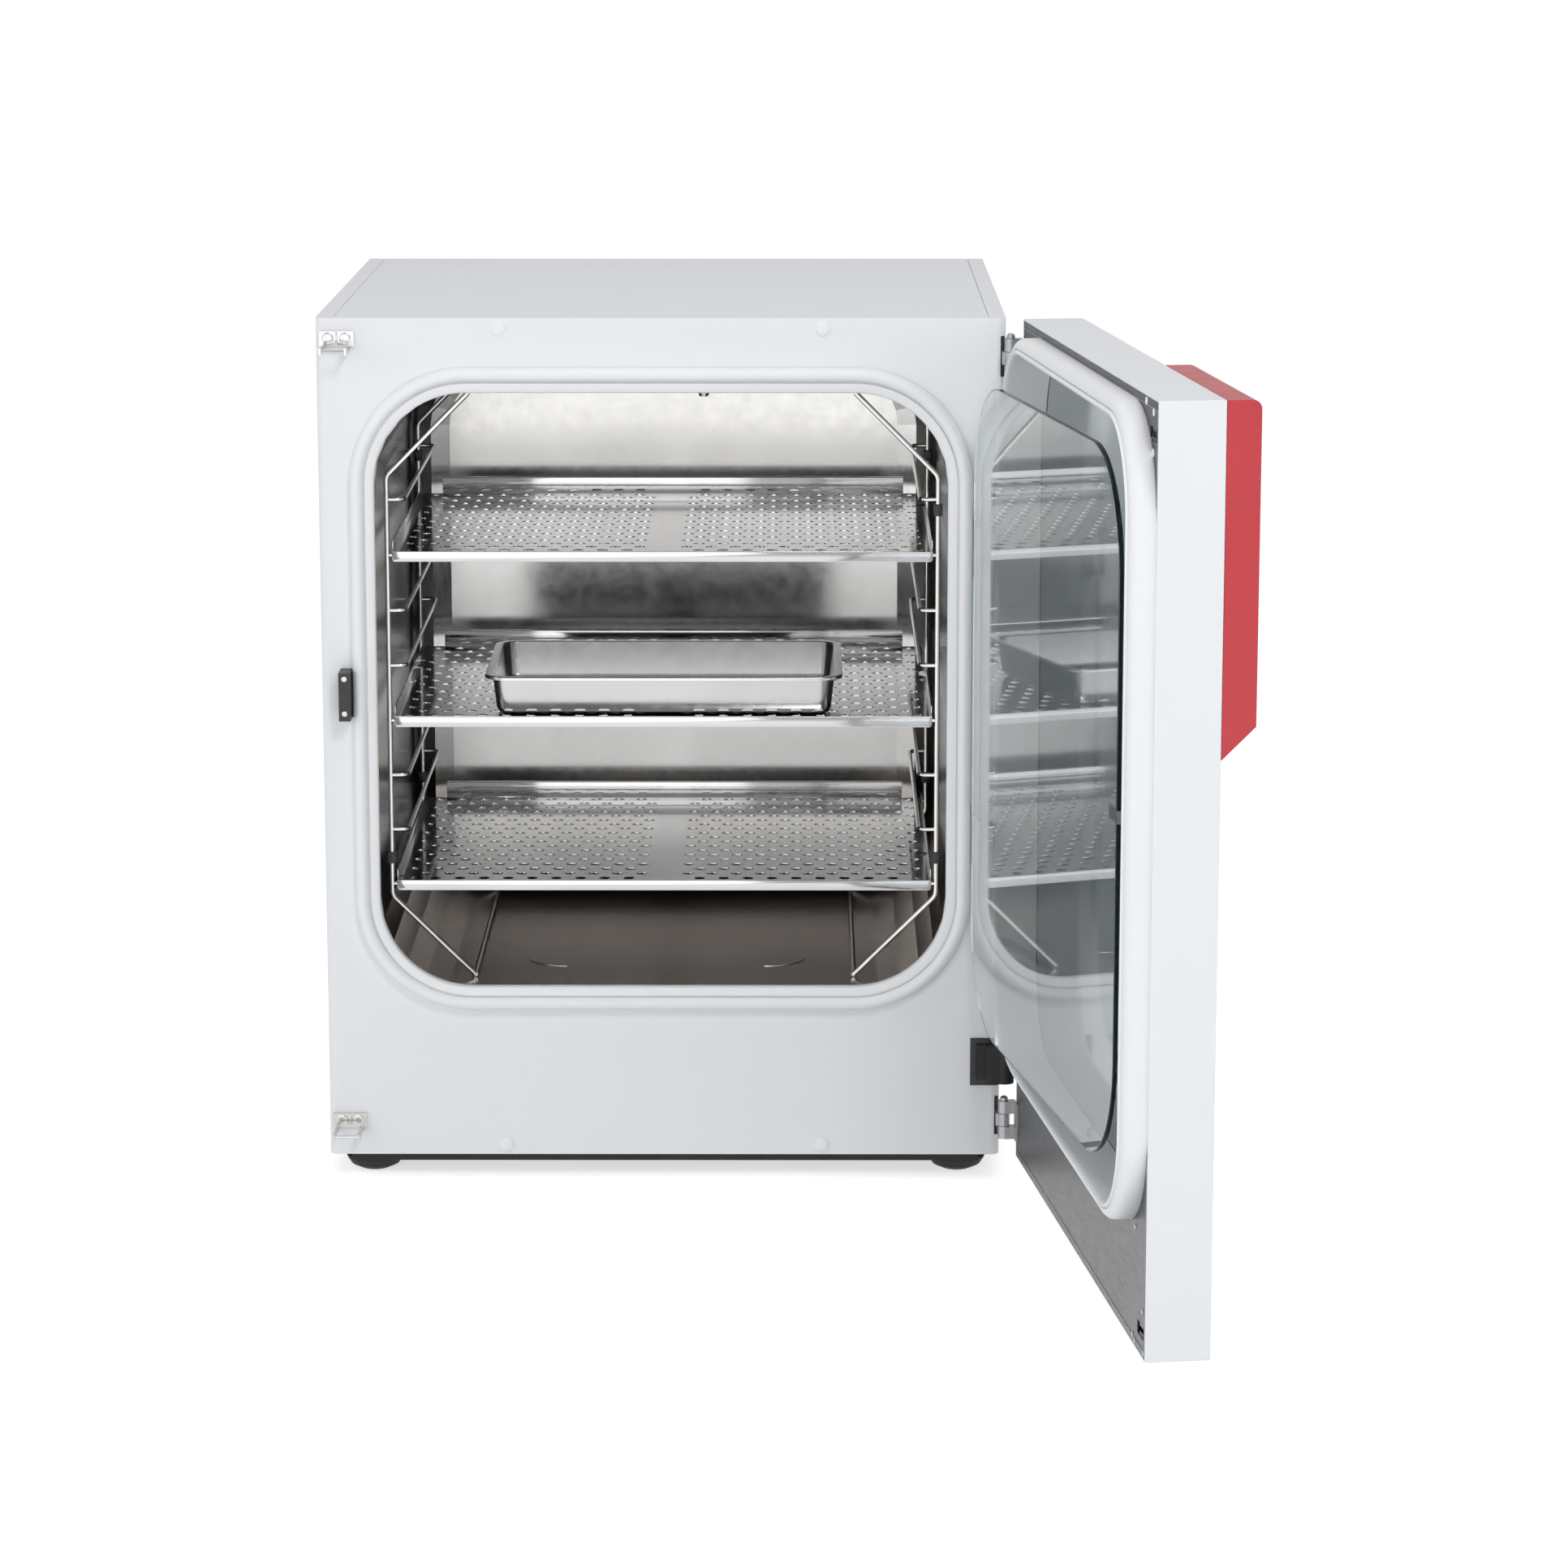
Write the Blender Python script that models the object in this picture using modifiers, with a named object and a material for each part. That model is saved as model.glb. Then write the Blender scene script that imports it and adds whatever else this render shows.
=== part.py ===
"""Bench incubator with a solid outer door, an inner glass door and three shelves.

Metres, +Z up. The front frame faces -Y, and the doors' hinges are on the right (+X).
The origin is the middle of the base tray's underside. Both doors are modelled shut,
around their hinge axes, and each door's empty then turns it to the open rest pose.
"""
import math

import bmesh
import bpy
from mathutils import Matrix, Vector

# Touching pieces keep FIT between their faces, and pieces that move keep RUNNING.
FIT = 0.0003
RUNNING = 0.0006

# Cabinet
BODY_WIDTH = 0.680
BODY_HEIGHT = 0.851
BODY_DEPTH = 0.640
SHEET = 0.0015
FRAME_FLANGE = 0.012
FRAME_CORNER = 0.008
TOP_FOLD = 0.0165
TRAY_HEIGHT = 0.013
TRAY_INSET = 0.020
TRAY_WALL = 0.002
TRAY_STEP = 0.001
PRESSING_SIDE_INSET = 0.085
PRESSING_END_INSET = 0.095
FOOT_RADIUS = 0.030
FOOT_DROP = 0.0131
FOOT_INSET = 0.050
FOOT_OVERHANG = 0.008

# Chamber
CHAMBER_BESIDE = 0.056
CHAMBER_ABOVE = 0.073
CHAMBER_BEHIND = 0.145
CHAMBER_RISE = 0.177
CHAMBER_WIDTH = BODY_WIDTH - 2 * CHAMBER_BESIDE
CHAMBER_HEIGHT = BODY_HEIGHT - CHAMBER_RISE - CHAMBER_ABOVE
CHAMBER_DEPTH = BODY_DEPTH - CHAMBER_BEHIND
CHAMBER_CORNER = 0.092
CHAMBER_BACK_RADIUS = 0.040
LINER = 0.0012
SEAL_WIDTH = 0.0245
SEAL_HEIGHT = 0.015
SEAL_ROUND = 0.009
HEATER_THICKNESS = 0.003
REAR_INSULATION = 0.046

# Wire racks and shelves
UPRIGHT_RADIUS = 0.0027
RUNG_RADIUS = 0.0022
RACK_SIDE_GAP = 0.009
RACK_REAR_GAP = 0.043
BEND_OVER_FLOOR = 0.085
BEND_UNDER_CEILING = 0.088
RACK_SPREAD = CHAMBER_WIDTH / 2 - RACK_SIDE_GAP
RACK_FOOT_SPREAD = CHAMBER_WIDTH / 2 - CHAMBER_CORNER
RACK_FRONT = 0.0335
RACK_REAR = CHAMBER_DEPTH - RACK_REAR_GAP
RACK_BEND_LOW = CHAMBER_RISE + BEND_OVER_FLOOR
RACK_BEND_HIGH = CHAMBER_RISE + CHAMBER_HEIGHT - BEND_UNDER_CEILING
RUNG_REACH = 0.0175
RUNG_BEND = 0.006
RUNG_OVER_BEND = 0.0125
RUNG_UNDER_BEND = 0.0235
RUNG_COUNT = 8
RUNG_SPREAD = RACK_SPREAD - RUNG_REACH
RUNG_FIRST = RACK_BEND_LOW + RUNG_OVER_BEND
RUNG_STEP = (RACK_BEND_HIGH - RUNG_UNDER_BEND - RUNG_FIRST) / (RUNG_COUNT - 1)
SHELF_SIDE_GAP = 0.00475
SHELF_FRONT_REACH = 0.0035
SHELF_REAR_REACH = 0.003
SHELF_WIDTH = 2 * (RACK_SPREAD - SHELF_SIDE_GAP)
SHELF_FRONT = RACK_FRONT - SHELF_FRONT_REACH
SHELF_DEPTH = RACK_REAR + SHELF_REAR_REACH - SHELF_FRONT
SHELF_SHEET = 0.001
SHELF_FRONT_LIP = 0.010
SHELF_REAR_LIP = 0.018
SHELF_REAR_LIP_INSET = 0.021
SHELF_SIDE_LIP = 0.0108
SHELF_RUNGS = {"shelf_bottom": 0, "shelf_middle": 3, "shelf_top": 6}
HOLE_RADIUS = 0.0055
HOLE_COLUMNS = 6
HOLE_ROWS = 4
HOLE_END_MARGIN = 0.0643
HOLE_SIDE_MARGIN = 0.05783
PAN_LENGTH = 0.345
PAN_WIDTH = 0.210
PAN_HEIGHT = 0.040
PAN_RIM = 0.008
PAN_SETBACK = 0.115
PROBE_RADIUS = 0.0075
PROBE_LENGTH = 0.016
PROBE_X = 0.0405
PROBE_DEPTH = 0.100

# Outer door, shut
DOOR_BOTTOM = 0.003
DOOR_OVER_BODY = 0.001
DOOR_WIDTH = BODY_WIDTH
DOOR_HEIGHT = BODY_HEIGHT + DOOR_OVER_BODY - DOOR_BOTTOM
DOOR_DEPTH = 0.059
DOOR_GAP = 0.026
DOOR_AXIS_X = 0.0041
DOOR_AXIS_OUT = 0.0142
DOOR_OPEN_DEG = 97.1
RING_BESIDE_CHAMBER = 0.038
RING_OVER_CHAMBER = 0.049
RING_UNDER_CHAMBER = 0.0515
RING_CORNER = 0.0835
RING_WIDTH = 0.0165
RING_HEIGHT = 0.0252
RING_WALL = 0.006
RECESS_DEPTH = 0.020
LATCH_WINDOW_LEFT = 0.0055
LATCH_WINDOW_WIDTH = 0.0295
LATCH_WINDOW_HEIGHT = 0.012
CONSOLE_WIDTH = 0.267
CONSOLE_HEIGHT = 0.311
CONSOLE_DEPTH = 0.030
CONSOLE_CHAMFER = 0.029
CONSOLE_ROUND = 0.008
SCREEN_WIDTH = 0.180
SCREEN_HEIGHT = 0.120
SCREEN_DROP = 0.045
HANDLE_LENGTH = 0.160
HANDLE_HEIGHT = 0.026
HANDLE_THICKNESS = 0.007
HANDLE_RISE = 0.060
FINGER_GAP = 0.024
FINGER_DEPTH = 0.022
HANDLE_PIN_RADIUS = 0.002
HANDLE_PIN_REACH = 0.005
BADGE_WIDTH = 0.090
BADGE_HEIGHT = 0.035
BADGE_RISE = 0.413

# Outer door's hinges
KNUCKLE_RADIUS = 0.0062
PIN_RADIUS = 0.0026
PIN_HEAD_RADIUS = 0.0046
HINGE_HEIGHT = 0.039
HINGE_LEAF = 0.0022
HINGE_LEAF_WIDTH = 0.0145
UPPER_HINGE_DROP = 0.0575
UPPER_HINGE_RISE = BODY_HEIGHT - UPPER_HINGE_DROP
LOWER_HINGE_RISE = 0.0215

# Strikers and claws
STRIKER_WIDTH = 0.034
STRIKER_HEIGHT = 0.015
STRIKER_LEFT = 0.004
STRIKER_EAR = 0.0022
STRIKER_EAR_HEIGHT = 0.0066
STRIKER_BAR_RADIUS = 0.0019
STRIKER_BAR_OUT = 0.035
STRIKER_BAR_DROP = 0.0015
UPPER_STRIKER_DROP = 0.028
UPPER_STRIKER_RISE = BODY_HEIGHT - UPPER_STRIKER_DROP
LOWER_STRIKER_RISE = 0.0285
UPPER_BAR_RISE = UPPER_STRIKER_RISE - STRIKER_BAR_DROP
LOWER_BAR_RISE = LOWER_STRIKER_RISE - STRIKER_BAR_DROP
CLAW_THICKNESS = 0.008
CLAW_RADIUS = 0.0068
CLAW_CASE_WALL = 0.0030

# Glass door, shut
GLASS_BELOW_CHAMBER = 0.028
GLASS_ABOVE_CHAMBER = 0.0175
GLASS_BESIDE_CHAMBER = 0.006
GLASS_HEIGHT = CHAMBER_HEIGHT + GLASS_BELOW_CHAMBER + GLASS_ABOVE_CHAMBER
GLASS_BOTTOM = CHAMBER_RISE - GLASS_BELOW_CHAMBER
GLASS_THICKNESS = 0.005
GLASS_CORNER = 0.105
GLASS_AXIS_INSET = 0.027
GLASS_AXIS_X = BODY_WIDTH / 2 - GLASS_AXIS_INSET
GLASS_EDGE_GAP = 0.004
GLASS_OPEN_DEG = 100.1
BARREL_RADIUS = 0.0030
BARREL_PIN_RADIUS = 0.0015
FITTING_HEIGHT = 0.051
FITTING_WIDTH = 0.041
FITTING_SHEET = 0.0018
UPPER_FITTING_DROP = 0.180
LOWER_FITTING_RISE = 0.130
FITTING_RISES = {"upper": CHAMBER_RISE + CHAMBER_HEIGHT - UPPER_FITTING_DROP,
                 "lower": CHAMBER_RISE + LOWER_FITTING_RISE}
LATCH_OVER_FLOOR = 0.300
LATCH_RISE = CHAMBER_RISE + LATCH_OVER_FLOOR
LATCH_FROM_EDGE = 0.010
CLAMP_WIDTH = 0.034
CLAMP_HEIGHT = 0.012
LEVER_WIDTH = 0.020
LEVER_TOP = 0.018
LEVER_THICKNESS = 0.0065
STUD_RADIUS = 0.003
NOSE_REACH = 0.0335
NOSE_WIDTH = 0.010
NOSE_THICKNESS = 0.002
CATCH_WIDTH = 0.0115
CATCH_HEIGHT = 0.0485
CATCH_DEPTH = 0.030
CATCH_LEFT = 0.0196
CATCH_WALL = 0.004

# Cable port at the front
PORT_FROM_EDGE = 0.030
PORT_RISE = 0.073
PORT_HEIGHT = 0.049
PORT_RIM = 0.006
PORT_FRAME_HEIGHT = 0.002
PORT_BOOT_HEIGHT = 0.006
BOOT_NECK_LENGTH = 0.0175
BOOT_NECK_REACH = 0.0088
BOOT_END_RADIUS = 0.0098

# Rear
INLET_FROM_SIDE = 0.140
INLET_X = BODY_WIDTH / 2 - INLET_FROM_SIDE
INLET_WIDTH = 0.048
INLET_HEIGHT = 0.028
INLET_SOCKET_WIDTH = 0.024
INLET_SOCKET_HEIGHT = 0.016
INLET_DEPTH = 0.020
SWITCH_FROM_SIDE = 0.080
SWITCH_X = BODY_WIDTH / 2 - SWITCH_FROM_SIDE
SWITCH_RIM = 0.0025
SWITCH_WIDTH = 0.020
SWITCH_HEIGHT = 0.026
REAR_PARTS_RISE = 0.120
BOARD_WIDTH = 0.220
BOARD_HEIGHT = 0.160
BOARD_RISE = 0.350
BOARD_THICKNESS = 0.0016
BOARD_STANDOFF = 0.010

HALF_WIDTH = BODY_WIDTH / 2
FRONT_Y = -BODY_DEPTH / 2
BACK_Y = BODY_DEPTH / 2
TOP_Z = TRAY_HEIGHT + BODY_HEIGHT
CHAMBER_MIDDLE = TRAY_HEIGHT + CHAMBER_RISE + CHAMBER_HEIGHT / 2
DOOR_AXIS = Vector((HALF_WIDTH + DOOR_AXIS_X, FRONT_Y - DOOR_AXIS_OUT, 0))
GLASS_BACK_OUT = SEAL_HEIGHT + 2 * FIT
GLASS_AXIS = Vector((GLASS_AXIS_X, FRONT_Y - GLASS_BACK_OUT - GLASS_THICKNESS, 0))
GLASS_RIGHT = GLASS_AXIS_X - GLASS_EDGE_GAP
GLASS_WIDTH = GLASS_RIGHT + CHAMBER_WIDTH / 2 + GLASS_BESIDE_CHAMBER
HINGE_LEAF_X = HALF_WIDTH - SHEET - FIT - HINGE_LEAF
CATCH_RIGHT = -HALF_WIDTH + CATCH_LEFT + CATCH_WIDTH

for old in list(bpy.data.objects):
    bpy.data.objects.remove(old, do_unlink=True)
parts = bpy.data.collections.new("bench_incubator")
cutters = bpy.data.collections.new("cutters")
for group in (parts, cutters):
    bpy.context.scene.collection.children.link(group)


def rise(height):
    """World Z of a height above the cabinet's lower edge."""
    return TRAY_HEIGHT + height


def out(distance):
    """World Y of a point in front of the front frame's face."""
    return FRONT_Y - distance


def material(name, color, roughness, metallic=0.0, alpha=1.0):
    """Principled material with one colour."""
    made = bpy.data.materials.new(name)
    made.use_nodes = True
    shader = made.node_tree.nodes["Principled BSDF"]
    shader.inputs["Base Color"].default_value = (*color, 1)
    shader.inputs["Roughness"].default_value = roughness
    shader.inputs["Metallic"].default_value = metallic
    shader.inputs["Alpha"].default_value = alpha
    return made


WHITE = material("white_paint", (0.80, 0.82, 0.84), 0.35)
BLACK = material("black_plastic", (0.02, 0.02, 0.022), 0.5)
STEEL = material("stainless_steel", (0.62, 0.62, 0.62), 0.22, 1.0)
CHROME = material("bright_plating", (0.75, 0.75, 0.75), 0.12, 1.0)
SILICONE = material("white_silicone", (0.84, 0.86, 0.87), 0.5)
WOOL = material("mineral_wool", (0.62, 0.58, 0.42), 0.95)
RED = material("red_lacquer", (0.58, 0.06, 0.07), 0.45)
ZINC = material("zinc_sheet", (0.45, 0.45, 0.46), 0.4, 1.0)
GLASS = material("clear_glass", (0.85, 0.93, 0.90), 0.02, 0.0, 0.35)
GREEN = material("circuit_board", (0.03, 0.22, 0.10), 0.6)
SCREEN = material("screen_glass", (0.02, 0.025, 0.03), 0.08)


def place(shape, group, skin=None):
    """Move a new object into one collection and give it its material."""
    for owner in list(shape.users_collection):
        owner.objects.unlink(shape)
    group.objects.link(shape)
    if skin is not None:
        shape.data.materials.clear()
        shape.data.materials.append(skin)
    return shape


def as_mesh(shape):
    """Replace a curve, or an object with modifiers, by a mesh with welded points."""
    bpy.context.view_layer.update()
    graph = bpy.context.evaluated_depsgraph_get()
    mesh = bpy.data.meshes.new_from_object(shape.evaluated_get(graph))
    solid = bpy.data.objects.new(shape.name, mesh)
    solid.matrix_world = shape.matrix_world
    group = shape.users_collection[0]
    name = shape.name
    bpy.data.objects.remove(shape, do_unlink=True)
    group.objects.link(solid)
    solid.name = name
    work = bmesh.new()
    work.from_mesh(mesh)
    bmesh.ops.remove_doubles(work, verts=work.verts, dist=1e-5)
    bmesh.ops.recalc_face_normals(work, faces=work.faces)
    work.to_mesh(mesh)
    work.free()
    return solid


def block(name, low, high, skin, group=parts):
    """Box between two opposite corners."""
    spans = [sorted(pair) for pair in zip(low, high)]
    near = Vector([span[0] for span in spans])
    far = Vector([span[1] for span in spans])
    bpy.ops.mesh.primitive_cube_add(size=1, location=(near + far) / 2, scale=far - near)
    bpy.ops.object.transform_apply(location=False, rotation=False, scale=True)
    shape = bpy.context.object
    shape.name = name
    return place(shape, group, skin)


def disc(name, centre, axis, radius, length, skin, group=parts, sides=20):
    """Cylinder about an axis, with its middle at the centre."""
    turn = Vector(axis).to_track_quat("Z", "Y").to_euler()
    bpy.ops.mesh.primitive_cylinder_add(
        vertices=sides, radius=radius, depth=length, location=centre, rotation=turn)
    shape = bpy.context.object
    shape.name = name
    return place(shape, group, skin)


def turned(name, profile, centre, skin, steps=20, group=parts):
    """Solid of revolution about Z: the profile runs top to bottom along its outer side."""
    mesh = bpy.data.meshes.new(name)
    points = [(radius, 0, height) for radius, height in profile]
    mesh.from_pydata(points, [(i, i + 1) for i in range(len(points) - 1)], [])
    shape = bpy.data.objects.new(name, mesh)
    shape.location = centre
    screw = shape.modifiers.new("turn", "SCREW")
    screw.steps = screw.render_steps = steps
    screw.use_merge_vertices = True
    screw.merge_threshold = 1e-5
    group.objects.link(shape)
    mesh.materials.append(skin)
    return shape


def rounded_outline(width, height, radius, middle=(0, 0), steps=6):
    """Points of a rounded rectangle, anticlockwise."""
    points = []
    for corner in range(4):
        start = corner * math.pi / 2
        sign_x = 1 if corner in (0, 3) else -1
        sign_y = 1 if corner in (0, 1) else -1
        for step in range(steps + 1):
            angle = start + step * math.pi / 2 / steps
            points.append((
                middle[0] + sign_x * (width / 2 - radius) + radius * math.cos(angle),
                middle[1] + sign_y * (height / 2 - radius) + radius * math.sin(angle)))
    return points


def plate(name, outlines, y_front, y_back, skin, group=parts, edge=0.0):
    """Flat piece in the XZ plane; the first outline is its rim, the rest are holes."""
    curve = bpy.data.curves.new(name, "CURVE")
    curve.dimensions = "2D"
    curve.fill_mode = "BOTH"
    curve.extrude = (y_back - y_front) / 2 - edge
    curve.bevel_depth = edge
    curve.bevel_resolution = 2
    curve.offset = -edge
    for outline in outlines:
        spline = curve.splines.new("POLY")
        spline.points.add(len(outline) - 1)
        for point, (x, z) in zip(spline.points, outline):
            point.co = (x, z, 0, 1)
        spline.use_cyclic_u = True
    shape = bpy.data.objects.new(name, curve)
    shape.location = (0, (y_front + y_back) / 2, 0)
    shape.rotation_euler = (math.pi / 2, 0, 0)
    group.objects.link(shape)
    shape = as_mesh(shape)
    shape.data.materials.clear()
    shape.data.materials.append(skin)
    return shape


def tube(name, points, radius, skin, group=parts, resolution=1):
    """Round bar along straight runs."""
    curve = bpy.data.curves.new(name, "CURVE")
    curve.dimensions = "3D"
    curve.bevel_depth = radius
    curve.bevel_resolution = resolution
    curve.use_fill_caps = True
    spline = curve.splines.new("POLY")
    spline.points.add(len(points) - 1)
    for point, place_at in zip(spline.points, points):
        point.co = (*place_at, 1)
    shape = bpy.data.objects.new(name, curve)
    group.objects.link(shape)
    shape = as_mesh(shape)
    shape.data.materials.clear()
    shape.data.materials.append(skin)
    return shape


def boolean(target, tool, operation):
    """Cut the tool from the target, or join it to the target."""
    place(tool, cutters)
    tool.hide_render = True
    tool.display_type = "WIRE"
    tool.name = f"{target.name}_tool_{len(target.modifiers)}"
    step = target.modifiers.new(operation.lower(), "BOOLEAN")
    step.operation = operation
    step.solver = "EXACT"
    step.object = tool
    tool.parent = target
    tool.matrix_parent_inverse = target.matrix_basis.inverted()
    return target


def cut(target, *tools):
    """Cut every tool from the target."""
    for tool in tools:
        boolean(target, tool, "DIFFERENCE")
    return target


def join(target, *tools):
    """Join every tool to the target."""
    for tool in tools:
        boolean(target, tool, "UNION")
    return target


def bevel(shape, width, segments=2, angle=math.radians(40)):
    """Round the sharp edges."""
    step = shape.modifiers.new("edges", "BEVEL")
    step.width = width
    step.segments = segments
    step.limit_method = "ANGLE"
    step.angle_limit = angle
    return shape


def smooth(shape):
    """Shade the round faces smooth."""
    shape.data.shade_smooth()
    shape.data.set_sharp_from_angle(angle=math.radians(35))
    return shape


def pivot(name, place_at, open_deg=0.0):
    """Empty on a joint's axis, turned to the rest pose."""
    empty = bpy.data.objects.new(name, None)
    empty.location = place_at
    empty.rotation_euler.z = math.radians(open_deg)
    parts.objects.link(empty)
    return empty


def carry(axis, *shapes):
    """Hang shapes that were modelled with the door shut on the door's empty."""
    for shape in shapes:
        shape.parent = axis
        shape.matrix_parent_inverse = Matrix.Translation(-axis.location)
    return shapes


def chamber_outline(grow=0.0, steps=6):
    """The chamber's front outline, grown on every side."""
    return rounded_outline(
        CHAMBER_WIDTH + 2 * grow, CHAMBER_HEIGHT + 2 * grow, CHAMBER_CORNER + grow,
        (0, CHAMBER_MIDDLE), steps)


def ring_outline(grow=0.0):
    """The inner outline of the outer door's ring, grown on every side."""
    height = CHAMBER_HEIGHT + RING_OVER_CHAMBER + RING_UNDER_CHAMBER
    middle = CHAMBER_MIDDLE + (RING_OVER_CHAMBER - RING_UNDER_CHAMBER) / 2
    return rounded_outline(
        CHAMBER_WIDTH + 2 * (RING_BESIDE_CHAMBER + grow), height + 2 * grow,
        RING_CORNER + grow, (0, middle), 8)


def liner_form(name, grow, y_front, group):
    """Closed form of the chamber with round back edges, grown on every side."""
    y_back = FRONT_Y + CHAMBER_DEPTH + grow
    return plate(name, [chamber_outline(grow)], 2 * y_front - y_back, y_back, STEEL,
                 group, CHAMBER_BACK_RADIUS + grow)


def make_casing():
    """Side, top and back panels, base tray and feet."""
    behind_frame = FRONT_Y + FRAME_FLANGE + FIT
    for side, name in ((-1, "left_side_panel"), (1, "right_side_panel")):
        inner = HALF_WIDTH - SHEET
        fold = HALF_WIDTH - TOP_FOLD
        edges = sorted((side * inner, side * HALF_WIDTH))
        wall = block(name, (edges[0], behind_frame, TRAY_HEIGHT),
                     (edges[1], BACK_Y, TOP_Z), WHITE)
        for low, high in ((TOP_Z - SHEET, TOP_Z), (TRAY_HEIGHT, TRAY_HEIGHT + SHEET)):
            reach = sorted((side * fold, side * (HALF_WIDTH - SHEET / 2)))
            join(wall, block("fold", (reach[0], behind_frame, low),
                             (reach[1], BACK_Y, high), WHITE))
    seam = HALF_WIDTH - TOP_FOLD - RUNNING
    block("top_panel", (-seam, behind_frame, TOP_Z - SHEET), (seam, BACK_Y, TOP_Z), WHITE)
    panel = block("back_panel", (-HALF_WIDTH + SHEET + FIT, BACK_Y - SHEET, rise(SHEET + FIT)),
                  (HALF_WIDTH - SHEET - FIT, BACK_Y, TOP_Z - SHEET - FIT), WHITE)
    rear_windows(panel)
    tray = block("base_tray", (-HALF_WIDTH + TRAY_INSET, FRONT_Y + TRAY_INSET, TRAY_STEP),
                 (HALF_WIDTH - TRAY_INSET, BACK_Y - TRAY_INSET, TRAY_HEIGHT - FIT), BLACK)
    join(tray, block("flange", (-HALF_WIDTH + SHEET, behind_frame,
                                TRAY_HEIGHT - FIT - SHEET),
                     (HALF_WIDTH - SHEET, BACK_Y - SHEET, TRAY_HEIGHT - FIT), BLACK))
    cut(tray, block("hollow", (-HALF_WIDTH + TRAY_INSET + TRAY_WALL,
                               FRONT_Y + TRAY_INSET + TRAY_WALL, TRAY_STEP + TRAY_WALL),
                    (HALF_WIDTH - TRAY_INSET - TRAY_WALL,
                     BACK_Y - TRAY_INSET - TRAY_WALL, TRAY_HEIGHT + 1), BLACK))
    # The tray's middle is pressed down a step, and the feet are bolted up around it.
    reach_x, reach_y = HALF_WIDTH - PRESSING_SIDE_INSET, BACK_Y - PRESSING_END_INSET
    join(tray, block("pressing", (-reach_x, -reach_y, 0),
                     (reach_x, reach_y, TRAY_STEP + TRAY_WALL / 2), BLACK))
    cut(tray, block("pressing_inside", (-reach_x + TRAY_WALL, -reach_y + TRAY_WALL, TRAY_WALL),
                    (reach_x - TRAY_WALL, reach_y - TRAY_WALL, TRAY_HEIGHT), BLACK))
    foot_x = HALF_WIDTH - TRAY_INSET - FOOT_RADIUS + FOOT_OVERHANG
    for row, y in (("front", FRONT_Y + FOOT_INSET), ("rear", BACK_Y - FOOT_INSET)):
        for side, x in (("left", -foot_x), ("right", foot_x)):
            seat = TRAY_STEP - FIT
            profile = [(0, seat), (FOOT_RADIUS, seat), (0.97 * FOOT_RADIUS, -0.15 * FOOT_DROP),
                       (0.82 * FOOT_RADIUS, -0.65 * FOOT_DROP),
                       (0.5 * FOOT_RADIUS, -FOOT_DROP), (0, -FOOT_DROP)]
            smooth(turned(f"foot_{row}_{side}", profile, (x, y, 0), BLACK))


def make_front_frame():
    """White front sheet with its opening, hinge slots and port window."""
    frame = block("front_frame", (-HALF_WIDTH, FRONT_Y, TRAY_HEIGHT),
                  (HALF_WIDTH, FRONT_Y + FRAME_FLANGE, TOP_Z), WHITE)
    work = bmesh.new()
    work.from_mesh(frame.data)
    front = -FRAME_FLANGE / 2
    upright = [edge for edge in work.edges
               if all(abs(v.co.y - front) < 1e-6 for v in edge.verts)
               and abs(edge.verts[0].co.z - edge.verts[1].co.z) > 0.1]
    bmesh.ops.bevel(work, geom=upright, offset=FRAME_CORNER, segments=4, affect="EDGES",
                    profile=0.5)
    work.to_mesh(frame.data)
    work.free()
    hollow = block("hollow", (-HALF_WIDTH + SHEET, FRONT_Y + SHEET, TRAY_HEIGHT + SHEET),
                   (HALF_WIDTH - SHEET, FRONT_Y + 1, TOP_Z - SHEET), WHITE)
    work = bmesh.new()
    work.from_mesh(hollow.data)
    front = min(v.co.y for v in work.verts)
    upright = [edge for edge in work.edges
               if all(abs(v.co.y - front) < 1e-6 for v in edge.verts)
               and abs(edge.verts[0].co.z - edge.verts[1].co.z) > 0.1]
    bmesh.ops.bevel(work, geom=upright, offset=FRAME_CORNER - SHEET, segments=4,
                    affect="EDGES", profile=0.5)
    work.to_mesh(hollow.data)
    work.free()
    mouth = plate("mouth", [chamber_outline(LINER + 2 * FIT)], FRONT_Y - 0.05,
                  FRONT_Y + 0.05, WHITE)
    cut(frame, hollow, mouth)
    slot_left = HINGE_LEAF_X - 2 * RUNNING
    for low in (UPPER_HINGE_RISE, LOWER_HINGE_RISE):
        cut(frame, block("slot", (slot_left, FRONT_Y - 0.01, rise(low - RUNNING)),
                         (HALF_WIDTH - SHEET, FRONT_Y + FRAME_CORNER + FIT,
                          rise(low + HINGE_HEIGHT + RUNNING)), WHITE))
    cut(frame, block("window", (port_left() + PORT_RIM, FRONT_Y - 0.01,
                                port_low() + PORT_RIM),
                     (port_right(), FRONT_Y + FRAME_CORNER + FIT,
                      port_high() - PORT_RIM), WHITE))


def port_left():
    """Left edge of the cable port's frame."""
    return HALF_WIDTH - PORT_FROM_EDGE


def port_right():
    """Right edge of the cable port's frame."""
    return HALF_WIDTH - SHEET - FIT


def port_low():
    """Lower edge of the cable port's frame."""
    return rise(PORT_RISE)


def port_high():
    """Upper edge of the cable port's frame."""
    return rise(PORT_RISE + PORT_HEIGHT)


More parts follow.
